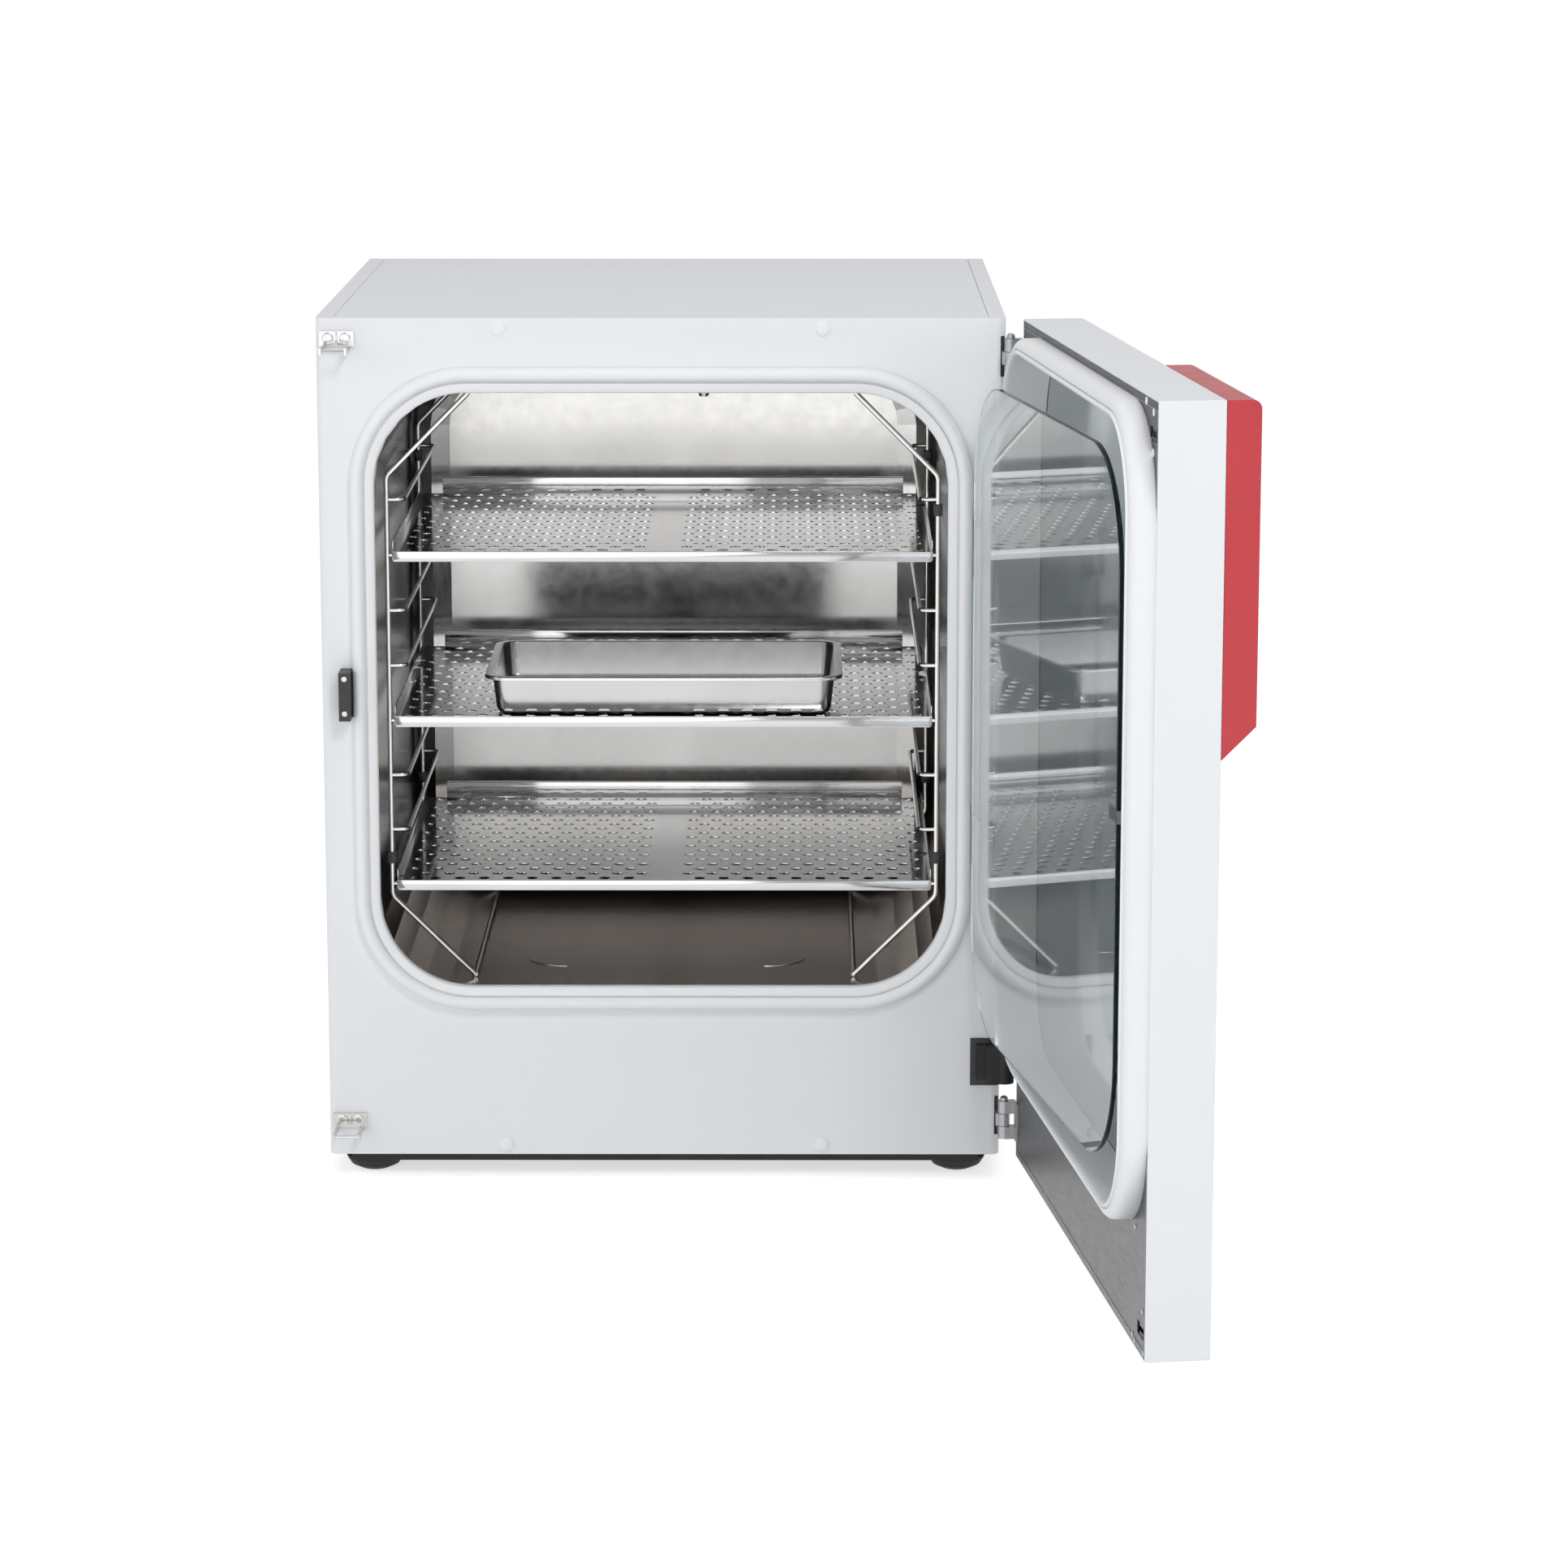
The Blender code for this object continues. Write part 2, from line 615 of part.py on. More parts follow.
def make_chamber():
    """Liner, seal, insulation, heater and probe."""
    form = liner_form("inner_chamber", 0.0, FRONT_Y, parts)
    work = bmesh.new()
    work.from_mesh(form.data)
    work.transform(form.matrix_world)
    bmesh.ops.bisect_plane(work, geom=work.verts[:] + work.edges[:] + work.faces[:],
                           plane_co=(0, FRONT_Y, 0), plane_no=(0, -1, 0),
                           clear_outer=True)
    bmesh.ops.recalc_face_normals(work, faces=work.faces)
    rear = max(work.faces, key=lambda face: face.calc_center_median().y)
    if rear.normal.y < 0:
        bmesh.ops.reverse_faces(work, faces=work.faces)
    work.to_mesh(form.data)
    work.free()
    form.matrix_world = Matrix.Identity(4)
    wall = form.modifiers.new("wall", "SOLIDIFY")
    wall.thickness = LINER
    wall.offset = 1
    smooth(form)
    seal = plate("chamber_seal", [chamber_outline(SEAL_WIDTH, 8), chamber_outline(0, 8)],
                 out(SEAL_HEIGHT), out(FIT), SILICONE)
    work = bmesh.new()
    work.from_mesh(seal.data)
    rim = []
    for edge in work.edges:
        ends = [seal.matrix_world @ v.co for v in edge.verts]
        crest = all(abs(p.y - out(SEAL_HEIGHT)) < 1e-5 for p in ends)
        steep = len(edge.link_faces) == 2 and edge.calc_face_angle() > 1
        outer = all(is_outside_chamber(p, SEAL_WIDTH / 2) for p in ends)
        if crest and steep and outer:
            rim.append(edge)
    bmesh.ops.bevel(work, geom=rim, offset=SEAL_ROUND, segments=3, affect="EDGES",
                    profile=0.5)
    work.to_mesh(seal.data)
    work.free()
    smooth(seal)
    make_insulation()
    ceiling = rise(CHAMBER_RISE + CHAMBER_HEIGHT)
    probe = [(0, -FIT), (PROBE_RADIUS, -FIT), (PROBE_RADIUS, -0.6 * PROBE_LENGTH),
             (0.55 * PROBE_RADIUS, -PROBE_LENGTH), (0, -PROBE_LENGTH)]
    smooth(turned("temperature_probe", probe, (PROBE_X, FRONT_Y + PROBE_DEPTH, ceiling),
                  STEEL, 16))
    heater_top = rise(CHAMBER_RISE) - LINER - FIT
    straight = CHAMBER_WIDTH / 2 - CHAMBER_CORNER
    block("heater_plate", (-straight, FRONT_Y + CHAMBER_BACK_RADIUS,
                           heater_top - HEATER_THICKNESS),
          (straight, FRONT_Y + CHAMBER_DEPTH - CHAMBER_BACK_RADIUS, heater_top), ZINC)


def is_outside_chamber(point, margin):
    """True where a point lies outside the chamber's outline grown by the margin."""
    flat = CHAMBER_WIDTH / 2 - CHAMBER_CORNER
    tall = CHAMBER_HEIGHT / 2 - CHAMBER_CORNER
    across = max(abs(point.x) - flat, 0)
    upward = max(abs(point.z - CHAMBER_MIDDLE) - tall, 0)
    return math.hypot(across, upward) > CHAMBER_CORNER + margin


def make_insulation():
    """Boards that fill the space between the liner and the casing."""
    casing = HALF_WIDTH - SHEET - FIT
    front = FRONT_Y + SHEET + FIT
    back = FRONT_Y + CHAMBER_DEPTH + LINER + FIT
    low, high = TRAY_HEIGHT + SHEET + FIT, TOP_Z - SHEET - FIT
    straight = CHAMBER_WIDTH / 2 - CHAMBER_CORNER
    inner = straight + FIT
    bands = {
        "insulation_left": ((-casing, front + FRAME_FLANGE, low), (-inner, back, high)),
        "insulation_right": ((inner, front + FRAME_FLANGE, low), (casing, back, high)),
        "insulation_top": ((-straight, front, CHAMBER_MIDDLE), (straight, back, high)),
        "insulation_bottom": ((-straight, front, low), (straight, back, CHAMBER_MIDDLE)),
    }
    for name, (near, far) in bands.items():
        board = block(name, near, far, WOOL)
        cut(board, liner_form("core", LINER + FIT, FRONT_Y - 0.1, parts))
        if name == "insulation_bottom":
            top = rise(CHAMBER_RISE) - LINER
            cut(board, block("pocket", (-straight - 1, FRONT_Y + CHAMBER_BACK_RADIUS - FIT,
                                        top - HEATER_THICKNESS - 2 * FIT - FIT),
                             (straight + 1, FRONT_Y + CHAMBER_DEPTH - CHAMBER_BACK_RADIUS
                              + FIT, top + 0.01), WOOL))
    block("insulation_rear", (-casing, back + FIT, low),
          (casing, back + REAR_INSULATION, high), WOOL)


def rack_frame(side, depth):
    """Points of one bent upright, from its foot to its top."""
    foot = CHAMBER_RISE + UPRIGHT_RADIUS + FIT
    top = CHAMBER_RISE + CHAMBER_HEIGHT - UPRIGHT_RADIUS - 2 * RUNNING
    y = FRONT_Y + depth
    return [(side * RACK_FOOT_SPREAD, y, rise(foot)),
            (side * RACK_SPREAD, y, rise(RACK_BEND_LOW)),
            (side * RACK_SPREAD, y, rise(RACK_BEND_HIGH)),
            (side * RACK_FOOT_SPREAD, y, rise(top))]


def make_racks():
    """Two welded wire racks, each with two uprights, two long rods and eight rungs."""
    for side, name in ((-1, "left_rack"), (1, "right_rack")):
        front = rack_frame(side, RACK_FRONT)
        rear = rack_frame(side, RACK_REAR)
        rack = tube(name, front, UPRIGHT_RADIUS, STEEL)
        join(rack, tube("rear", rear, UPRIGHT_RADIUS, STEEL))
        for near, far in ((front[0], rear[0]), (front[3], rear[3])):
            overlap = Vector((0, UPRIGHT_RADIUS / 2, 0))
            join(rack, tube("long_rod", [Vector(near) - overlap, Vector(far) + overlap],
                            UPRIGHT_RADIUS * 0.93, STEEL))
        for level in range(RUNG_COUNT):
            z = rise(RUNG_FIRST + level * RUNG_STEP)
            x_weld = side * RACK_SPREAD
            x_run = side * RUNG_SPREAD
            y_front, y_rear = FRONT_Y + RACK_FRONT, FRONT_Y + RACK_REAR
            x_bend = x_run + side * RUNG_BEND
            rung = [(x_weld, y_front, z), (x_bend, y_front, z),
                    (x_run, y_front + RUNG_BEND, z), (x_run, y_rear - RUNG_BEND, z),
                    (x_bend, y_rear, z), (x_weld, y_rear, z)]
            join(rack, tube("rung", rung, RUNG_RADIUS, STEEL))
        smooth(rack)


def make_shelves():
    """Three perforated shelves, and the water pan on the middle one."""
    half = SHELF_WIDTH / 2
    front, back = FRONT_Y + SHELF_FRONT, FRONT_Y + SHELF_FRONT + SHELF_DEPTH
    for name, level in SHELF_RUNGS.items():
        axis = pivot(f"{name}_runner", (0, front, 0))
        low = rise(RUNG_FIRST + level * RUNG_STEP) + RUNG_RADIUS + FIT
        holes = []
        along = (SHELF_DEPTH - 2 * HOLE_END_MARGIN) / (HOLE_ROWS - 1)
        across = (SHELF_WIDTH - 2 * HOLE_SIDE_MARGIN) / (HOLE_COLUMNS - 1)
        for row in range(HOLE_ROWS):
            for column in range(HOLE_COLUMNS):
                x = -half + HOLE_SIDE_MARGIN + column * across
                y = front + HOLE_END_MARGIN + row * along
                holes.append([(x + HOLE_RADIUS * math.cos(math.pi * (0.125 + step / 4)),
                               y + HOLE_RADIUS * math.sin(math.pi * (0.125 + step / 4)))
                              for step in range(8)])
        shelf = block(name, (-half, front, low), (half, back, low + SHELF_SHEET), STEEL)
        sheet_top = low + SHELF_SHEET
        overlap = low + SHELF_SHEET / 2
        join(shelf, block("front_lip", (-half, front, sheet_top - SHELF_FRONT_LIP),
                          (half, front + SHELF_SHEET, overlap), STEEL))
        rear_half = half - SHELF_REAR_LIP_INSET
        join(shelf, block("rear_lip", (-rear_half, back - SHELF_SHEET, overlap),
                          (rear_half, back, sheet_top + SHELF_REAR_LIP), STEEL))
        for side in (-1, 1):
            x = sorted((side * half, side * (half - SHELF_SHEET)))
            join(shelf, block("side_lip", (x[0], front + SHELF_SIDE_LIP, overlap),
                              (x[1], back - SHELF_REAR_LIP_INSET,
                               sheet_top + SHELF_SIDE_LIP), STEEL))
        drill = plate("drill", holes, -0.01, 0.01, STEEL)
        drill.rotation_euler = (0, 0, 0)
        drill.location = (0, 0, low)
        cut(shelf, drill)
        carry(axis, shelf)
        if name == "shelf_middle":
            carry(axis, make_water_pan(sheet_top + FIT))


def make_water_pan(floor):
    """Open pan with a flat rim, standing on the middle shelf."""
    y = FRONT_Y + SHELF_FRONT + PAN_SETBACK
    pan = block("water_pan", (-PAN_LENGTH / 2, y - PAN_WIDTH / 2, floor),
                (PAN_LENGTH / 2, y + PAN_WIDTH / 2, floor + PAN_HEIGHT), STEEL)
    cut(pan, block("hollow", (-PAN_LENGTH / 2 + SHELF_SHEET, y - PAN_WIDTH / 2 + SHELF_SHEET,
                              floor + SHELF_SHEET),
                   (PAN_LENGTH / 2 - SHELF_SHEET, y + PAN_WIDTH / 2 - SHELF_SHEET,
                    floor + 2 * PAN_HEIGHT), STEEL))
    rim_outer = [(sx * (PAN_LENGTH / 2 + PAN_RIM), y + sy * (PAN_WIDTH / 2 + PAN_RIM))
                 for sx, sy in ((-1, -1), (1, -1), (1, 1), (-1, 1))]
    rim_inner = [(sx * (PAN_LENGTH / 2 - SHELF_SHEET / 2),
                  y + sy * (PAN_WIDTH / 2 - SHELF_SHEET / 2))
                 for sx, sy in ((-1, -1), (1, -1), (1, 1), (-1, 1))]
    rim = plate("rim", [rim_outer, rim_inner], -SHELF_SHEET / 2, SHELF_SHEET / 2, STEEL)
    rim.rotation_euler = (0, 0, 0)
    rim.location = (0, 0, floor + PAN_HEIGHT - SHELF_SHEET)
    bpy.context.view_layer.update()
    return join(pan, rim)


def make_port():
    """Cable port's frame, and the rubber boot that reaches out to the hinge line."""
    frame = block("cable_port_frame", (port_left(), out(PORT_FRAME_HEIGHT), port_low()),
                  (port_right(), out(FIT), port_high()), BLACK)
    cut(frame, block("window", (port_left() + PORT_RIM, out(0.01), port_low() + PORT_RIM),
                     (port_right() + 1, FRONT_Y + 1, port_high() - PORT_RIM), BLACK))
    low, high = port_low() + PORT_RIM + FIT, port_high() - PORT_RIM - FIT
    boot = block("cable_boot", (port_left() + PORT_RIM + FIT, FRONT_Y + SHEET - FIT, low),
                 (port_right() - 2 * FIT, out(PORT_BOOT_HEIGHT), high), BLACK)
    neck = block("neck", (DOOR_AXIS.x - BOOT_NECK_LENGTH, DOOR_AXIS.y + BOOT_NECK_REACH, low),
                 (DOOR_AXIS.x, DOOR_AXIS.y - BOOT_NECK_REACH, high), BLACK)
    end = disc("end", Vector((DOOR_AXIS.x, DOOR_AXIS.y, (low + high) / 2)), (0, 0, 1),
               BOOT_END_RADIUS, high - low, BLACK, sides=24)
    join(boot, neck, end)


def make_strikers():
    """Upper and lower striker with their bars, and the catch for the glass door."""
    left = -HALF_WIDTH + STRIKER_LEFT
    right = left + STRIKER_WIDTH
    for name, plate_rise, bar_rise in (
            ("upper", UPPER_STRIKER_RISE, UPPER_BAR_RISE),
            ("lower", LOWER_STRIKER_RISE, LOWER_BAR_RISE)):
        z = rise(plate_rise)
        bar_z = rise(bar_rise)
        base = block(f"{name}_striker", (left, out(0.0025), z),
                     (right, out(FIT), z + STRIKER_HEIGHT), CHROME)
        window, _ = latch_window(bar_rise)
        first = window + 2 * RUNNING
        last = window + LATCH_WINDOW_WIDTH - 2 * RUNNING - STRIKER_EAR
        half = STRIKER_EAR_HEIGHT / 2
        for near in (first, last):
            join(base, block("ear", (near, out(STRIKER_BAR_OUT + half), bar_z - half),
                             (near + STRIKER_EAR, out(0.0015), bar_z + half), CHROME))
            join(base, block("foot", (near, out(0.0025), bar_z - half),
                             (near + STRIKER_EAR, out(FIT), z + 0.002), CHROME))
        join(base, disc("bar", ((first + last + STRIKER_EAR) / 2, out(STRIKER_BAR_OUT),
                                bar_z), (1, 0, 0), STRIKER_BAR_RADIUS, last - first, CHROME,
                        sides=12))
    left = -HALF_WIDTH + CATCH_LEFT
    low = rise(LATCH_RISE) - CATCH_HEIGHT / 2
    catch = block("glass_door_catch", (left, out(CATCH_DEPTH), low),
                  (left + CATCH_WIDTH, out(FIT), low + CATCH_HEIGHT), BLACK)
    nose_near, nose_far = nose_slot()
    cut(catch, block("slot", (left + CATCH_WALL / 2, out(nose_far + RUNNING),
                              low + CATCH_WALL),
                     (left + 1, out(nose_near - RUNNING), low + CATCH_HEIGHT - CATCH_WALL),
                     BLACK))


def nose_slot():
    """Distances in front of the frame between which the latch lever's nose turns."""
    near = GLASS_BACK_OUT + GLASS_THICKNESS + FIT + FITTING_SHEET + RUNNING
    return near, near + NOSE_THICKNESS


def make_outer_door():
    """Everything that swings on the outer door's hinges."""
    axis = pivot("outer_door_axis", DOOR_AXIS, DOOR_OPEN_DEG)
    inner = DOOR_GAP
    outer = DOOR_GAP + DOOR_DEPTH
    left, right = HALF_WIDTH - DOOR_WIDTH, HALF_WIDTH
    low, high = rise(DOOR_BOTTOM), rise(DOOR_BOTTOM + DOOR_HEIGHT)
    shell = block("door_shell", (left, out(outer), low), (right, out(inner), high), WHITE)
    bevel(shell, 0.0006, 1)
    cut(shell, block("hollow", (left + SHEET, out(outer - SHEET), low + SHEET),
                     (right - SHEET, out(inner - 1), high - SHEET), WHITE))

    edge = SHEET + FIT
    sheet = plate("door_inner_panel", [
        [(left + edge, low + edge), (right - edge, low + edge),
         (right - edge, high - edge), (left + edge, high - edge)],
        ring_outline(RING_WALL + FIT)],
        out(inner + SHEET), out(inner), ZINC)
    for bar_rise in (UPPER_BAR_RISE, LOWER_BAR_RISE):
        x, z = latch_window(bar_rise)
        cut(sheet, block("window", (x, out(inner + 2 * SHEET), z),
                         (x + LATCH_WINDOW_WIDTH, out(inner - SHEET),
                          z + LATCH_WINDOW_HEIGHT), ZINC))

    ring = plate("door_ring", [ring_outline(RING_WIDTH), ring_outline()],
                 out(inner - FIT), out(inner - RING_HEIGHT), SILICONE)
    ring_wall = plate("wall", [ring_outline(RING_WALL), ring_outline()],
                      out(inner + RECESS_DEPTH), out(inner - 0.01), SILICONE)
    join(ring, ring_wall)
    smooth(ring)

    mirror = plate("door_mirror_panel", [ring_outline(RING_WALL)],
                   out(inner + RECESS_DEPTH + FIT + SHEET), out(inner + RECESS_DEPTH + FIT),
                   STEEL)
    wool = block("door_insulation",
                 (left + edge, out(outer - SHEET - FIT), low + edge),
                 (right - edge, out(inner + RECESS_DEPTH + 2 * FIT + SHEET), high - edge),
                 WOOL)
    carry(axis, shell, sheet, ring, mirror, wool)
    carry(axis, *make_claws(sheet))
    carry(axis, *make_console(left, out(outer), high))
    carry(axis, *make_door_leaves())
    badge_x = left + 0.5 * CONSOLE_WIDTH
    carry(axis, block("badge_plate", (badge_x - BADGE_WIDTH / 2, out(outer + 0.0018),
                                      rise(BADGE_RISE)),
                      (badge_x + BADGE_WIDTH / 2, out(outer + FIT),
                       rise(BADGE_RISE) + BADGE_HEIGHT), CHROME))
    make_pins(axis)


def latch_window(bar_rise):
    """Left and lower edge of the latch window in front of a striker bar."""
    return -HALF_WIDTH + LATCH_WINDOW_LEFT, rise(bar_rise) - LATCH_WINDOW_HEIGHT / 2


def make_claws(sheet):
    """Notched claws that turn in cases behind the inner panel and grip the striker bars."""
    made = []
    for name, bar_rise in (("upper", UPPER_BAR_RISE), ("lower", LOWER_BAR_RISE)):
        middle = latch_window(bar_rise)[0] + LATCH_WINDOW_WIDTH / 2
        centre = Vector((middle, out(STRIKER_BAR_OUT), rise(bar_rise)))
        eye = STRIKER_BAR_RADIUS + RUNNING
        hole = CLAW_RADIUS + FIT
        case = Vector((CLAW_THICKNESS / 2 + FIT + CLAW_CASE_WALL, hole + CLAW_CASE_WALL,
                       hole + CLAW_CASE_WALL))
        join(sheet, block("case", (centre.x - case.x, centre.y - case.y, centre.z - case.z),
                          (centre.x + case.x, out(DOOR_GAP + SHEET / 2),
                           centre.z + case.z), ZINC))
        cut(sheet, disc("seat", centre, (1, 0, 0), hole, CLAW_THICKNESS + 2 * FIT, ZINC,
                        sides=24),
            block("way", (centre.x - 2 * case.x, centre.y - eye, centre.z - eye),
                  (centre.x + 2 * case.x, centre.y + 1, centre.z + eye), ZINC))
        claw = disc(f"{name}_latch_claw", centre, (1, 0, 0), CLAW_RADIUS, CLAW_THICKNESS,
                    CHROME, sides=24)
        cut(claw, disc("eye", centre, (1, 0, 0), eye, 0.1, CHROME, sides=16),
            block("notch", (centre.x - 1, centre.y, centre.z - eye),
                  (centre.x + 1, centre.y + 1, centre.z + eye), CHROME))
        made.append(claw)
    return made


def make_console(left, front, high):
    """Red control console with a screen and a pull handle."""
    right = left + CONSOLE_WIDTH
    low = high - CONSOLE_HEIGHT
    back = front - FIT
    face = back - CONSOLE_DEPTH
    rounding = [(face + CONSOLE_ROUND * (1 - math.cos(a)),
                 high - CONSOLE_ROUND * (1 - math.sin(a)))
                for a in (step * math.pi / 2 / 5 for step in range(6))]
    profile = [(back, low), (back, high)] + rounding[::-1] + [(face, low + CONSOLE_CHAMFER)]
    mesh = bpy.data.meshes.new("console_housing")
    work = bmesh.new()
    ring = [work.verts.new((left, y, z)) for y, z in profile]
    cap = work.faces.new(ring)
    moved = bmesh.ops.extrude_face_region(work, geom=[cap])
    bmesh.ops.translate(work, vec=(CONSOLE_WIDTH, 0, 0),
                        verts=[v for v in moved["geom"] if isinstance(v, bmesh.types.BMVert)])
    bmesh.ops.recalc_face_normals(work, faces=work.faces)
    work.to_mesh(mesh)
    work.free()
    housing = bpy.data.objects.new("console_housing", mesh)
    parts.objects.link(housing)
    mesh.materials.append(RED)

    middle = (left + right) / 2
    screen_top = high - SCREEN_DROP
    pocket = 0.003
    cut(housing, block("pocket", (middle - SCREEN_WIDTH / 2, face - 1,
                                  screen_top - SCREEN_HEIGHT),
                       (middle + SCREEN_WIDTH / 2, face + pocket, screen_top), RED))
    screen = block("touch_screen", (middle - SCREEN_WIDTH / 2 + FIT, face - 0.0005,
                                    screen_top - SCREEN_HEIGHT + FIT),
                   (middle + SCREEN_WIDTH / 2 - FIT, face + pocket - FIT,
                    screen_top - FIT), SCREEN)
    grip_low = low + HANDLE_RISE
    side_room = 2 * RUNNING
    cut(housing, block("well", (middle - HANDLE_LENGTH / 2 - side_room, face - 1,
                                grip_low - FINGER_GAP),
                       (middle + HANDLE_LENGTH / 2 + side_room, face + FINGER_DEPTH,
                        grip_low + HANDLE_HEIGHT + 3 * RUNNING), RED))
    handle = block("door_handle", (middle - HANDLE_LENGTH / 2, face + RUNNING, grip_low),
                   (middle + HANDLE_LENGTH / 2, face + RUNNING + HANDLE_THICKNESS,
                    grip_low + HANDLE_HEIGHT), BLACK)
    pin_at = (middle, face + RUNNING + HANDLE_THICKNESS / 2,
              grip_low + HANDLE_HEIGHT - 2 * HANDLE_PIN_RADIUS)
    join(handle, disc("pin", pin_at, (1, 0, 0), HANDLE_PIN_RADIUS,
                      HANDLE_LENGTH + 2 * HANDLE_PIN_REACH, BLACK, sides=12))
    cut(housing, disc("pin_bore", pin_at, (1, 0, 0), HANDLE_PIN_RADIUS + FIT,
                      HANDLE_LENGTH + 2 * (HANDLE_PIN_REACH + FIT), RED, sides=12))
    return housing, screen, handle


def hinge_rows():
    """Each hinge's name and the height of its lower end."""
    return ("upper", rise(UPPER_HINGE_RISE)), ("lower", rise(LOWER_HINGE_RISE))


def knuckle(name, low, high, skin=ZINC):
    """Hinge knuckle around the outer door's axis, without its bore."""
    return disc(name, (DOOR_AXIS.x, DOOR_AXIS.y, (low + high) / 2), (0, 0, 1),
                KNUCKLE_RADIUS, high - low, skin, sides=20)


def bore(low, high, radius):
    """Cutter along the outer door's axis."""
    return disc("bore", (DOOR_AXIS.x, DOOR_AXIS.y, (low + high) / 2), (0, 0, 1), radius,
                high - low + 0.02, ZINC, sides=16)


def make_cabinet_leaves():
    """Cabinet side of each outer hinge: a leaf through the slot and the middle knuckle."""
    leaf_x = HINGE_LEAF_X
    third = HINGE_HEIGHT / 3
    for name, low in hinge_rows():
        middle_low, middle_high = low + third + RUNNING / 2, low + 2 * third - RUNNING / 2
        leaf = knuckle(f"{name}_hinge_cabinet_leaf", middle_low, middle_high)
        arm_front = DOOR_AXIS.y - 0.5 * KNUCKLE_RADIUS
        join(leaf,
             block("arm", (leaf_x, arm_front, middle_low),
                   (leaf_x + HINGE_LEAF + 0.003, DOOR_AXIS.y + 0.3 * KNUCKLE_RADIUS,
                    middle_high), ZINC),
             block("strap", (leaf_x, arm_front + 0.0005, middle_low),
                   (leaf_x + HINGE_LEAF, FRONT_Y + FRAME_FLANGE, middle_high), ZINC),
             block("plate", (leaf_x, FRONT_Y + SHEET + FIT, low + FIT),
                   (leaf_x + HINGE_LEAF, FRONT_Y + FRAME_FLANGE, low + HINGE_HEIGHT - FIT),
                   ZINC))
        cut(leaf, bore(middle_low, middle_high, PIN_RADIUS + FIT))


def make_door_leaves():
    """Door side of each outer hinge: a leaf on the inner sheet and two knuckles."""
    made = []
    third = HINGE_HEIGHT / 3
    leaf_back = DOOR_GAP - FIT
    leaf_front = leaf_back - HINGE_LEAF
    for name, low in hinge_rows():
        high = low + HINGE_HEIGHT
        leaf = block(f"{name}_hinge_door_leaf",
                     (HALF_WIDTH - HINGE_LEAF_WIDTH, out(leaf_back), low),
                     (HALF_WIDTH - 0.002, out(leaf_front), high), ZINC)
        for start in (low, low + 2 * third + RUNNING / 2):
            end = start + third - RUNNING / 2
            if start == low:
                end = low + third - RUNNING / 2
            join(leaf, block("web", (HALF_WIDTH - 0.0026, out(leaf_back), start),
                             (DOOR_AXIS.x + 0.0035, DOOR_AXIS.y, end), ZINC),
                 knuckle("end", start, end))
        cut(leaf, bore(low, high, PIN_RADIUS + FIT))
        made.append(leaf)
    return made


def make_pins(axis):
    """Hinge pins with domed heads."""
    for name, low in hinge_rows():
        high = low + HINGE_HEIGHT
        head = [(0, 0.0052), (0.5 * PIN_HEAD_RADIUS, 0.0047), (0.85 * PIN_HEAD_RADIUS, 0.0033),
                (PIN_HEAD_RADIUS, FIT), (PIN_RADIUS, FIT)]
        profile = head + [(PIN_RADIUS, low - high), (0, low - high)]
        pin = turned(f"{name}_hinge_pin", profile, (DOOR_AXIS.x, DOOR_AXIS.y, high), ZINC, 16)
        carry(axis, smooth(pin))


def make_glass_door():
    """Glass pane, its hinges on the frame, and its latch."""
    axis = pivot("glass_door_axis", GLASS_AXIS, GLASS_OPEN_DEG)
    middle_x = GLASS_RIGHT - GLASS_WIDTH / 2
    middle_z = rise(GLASS_BOTTOM) + GLASS_HEIGHT / 2
    pane = plate("glass_pane", [rounded_outline(GLASS_WIDTH, GLASS_HEIGHT, GLASS_CORNER,
                                                (middle_x, middle_z), 8)],
                 out(GLASS_BACK_OUT + GLASS_THICKNESS), out(GLASS_BACK_OUT), GLASS)
    carry(axis, smooth(pane))
    for name, fitting_rise in FITTING_RISES.items():
        make_glass_hinge(name, rise(fitting_rise), axis)
    free_edge = GLASS_RIGHT - GLASS_WIDTH
    latch = Vector((free_edge + LATCH_FROM_EDGE, 0, rise(LATCH_RISE)))
    face = GLASS_BACK_OUT + GLASS_THICKNESS
    half = CLAMP_HEIGHT / 2
    clamp = block("glass_latch_clamp",
                  (free_edge - 0.0022, out(face + FIT + FITTING_SHEET), latch.z - half),
                  (free_edge - 0.0022 + CLAMP_WIDTH, out(face + FIT), latch.z + half), CHROME)
    join(clamp, block("edge", (free_edge - 0.0022, out(face + FIT + FITTING_SHEET / 2),
                               latch.z - half),
                      (free_edge - FIT, out(GLASS_BACK_OUT), latch.z + half), CHROME))
    nose_near, nose_far = nose_slot()
    lever_front = nose_far + LEVER_THICKNESS
    stud_near, stud_far = face + FIT + FITTING_SHEET / 2, lever_front - 2 * RUNNING
    join(clamp, disc("stud", (latch.x, out((stud_near + stud_far) / 2), latch.z),
                     (0, 1, 0), STUD_RADIUS, stud_far - stud_near, CHROME, sides=16))
    carry(axis, clamp)
    lever_low = free_edge + LATCH_FROM_EDGE - CATCH_RIGHT - FIT
    lever = block("glass_latch_lever",
                  (latch.x - LEVER_WIDTH / 2, out(lever_front), latch.z - lever_low),
                  (latch.x + LEVER_WIDTH / 2, out(nose_far - FIT), latch.z + LEVER_TOP),
                  BLACK)
    bevel(lever, 0.002, 2)
    join(lever, block("nose", (latch.x - NOSE_WIDTH / 2, out(nose_far),
                               latch.z - NOSE_REACH),
                      (latch.x + NOSE_WIDTH / 2, out(nose_near), latch.z + 0.008), BLACK))
    cut(lever, disc("eye", (latch.x, out(face), latch.z), (0, 1, 0), STUD_RADIUS + FIT,
                    2 * (lever_front - RUNNING - face), BLACK, sides=16))
    carry(axis, lever)


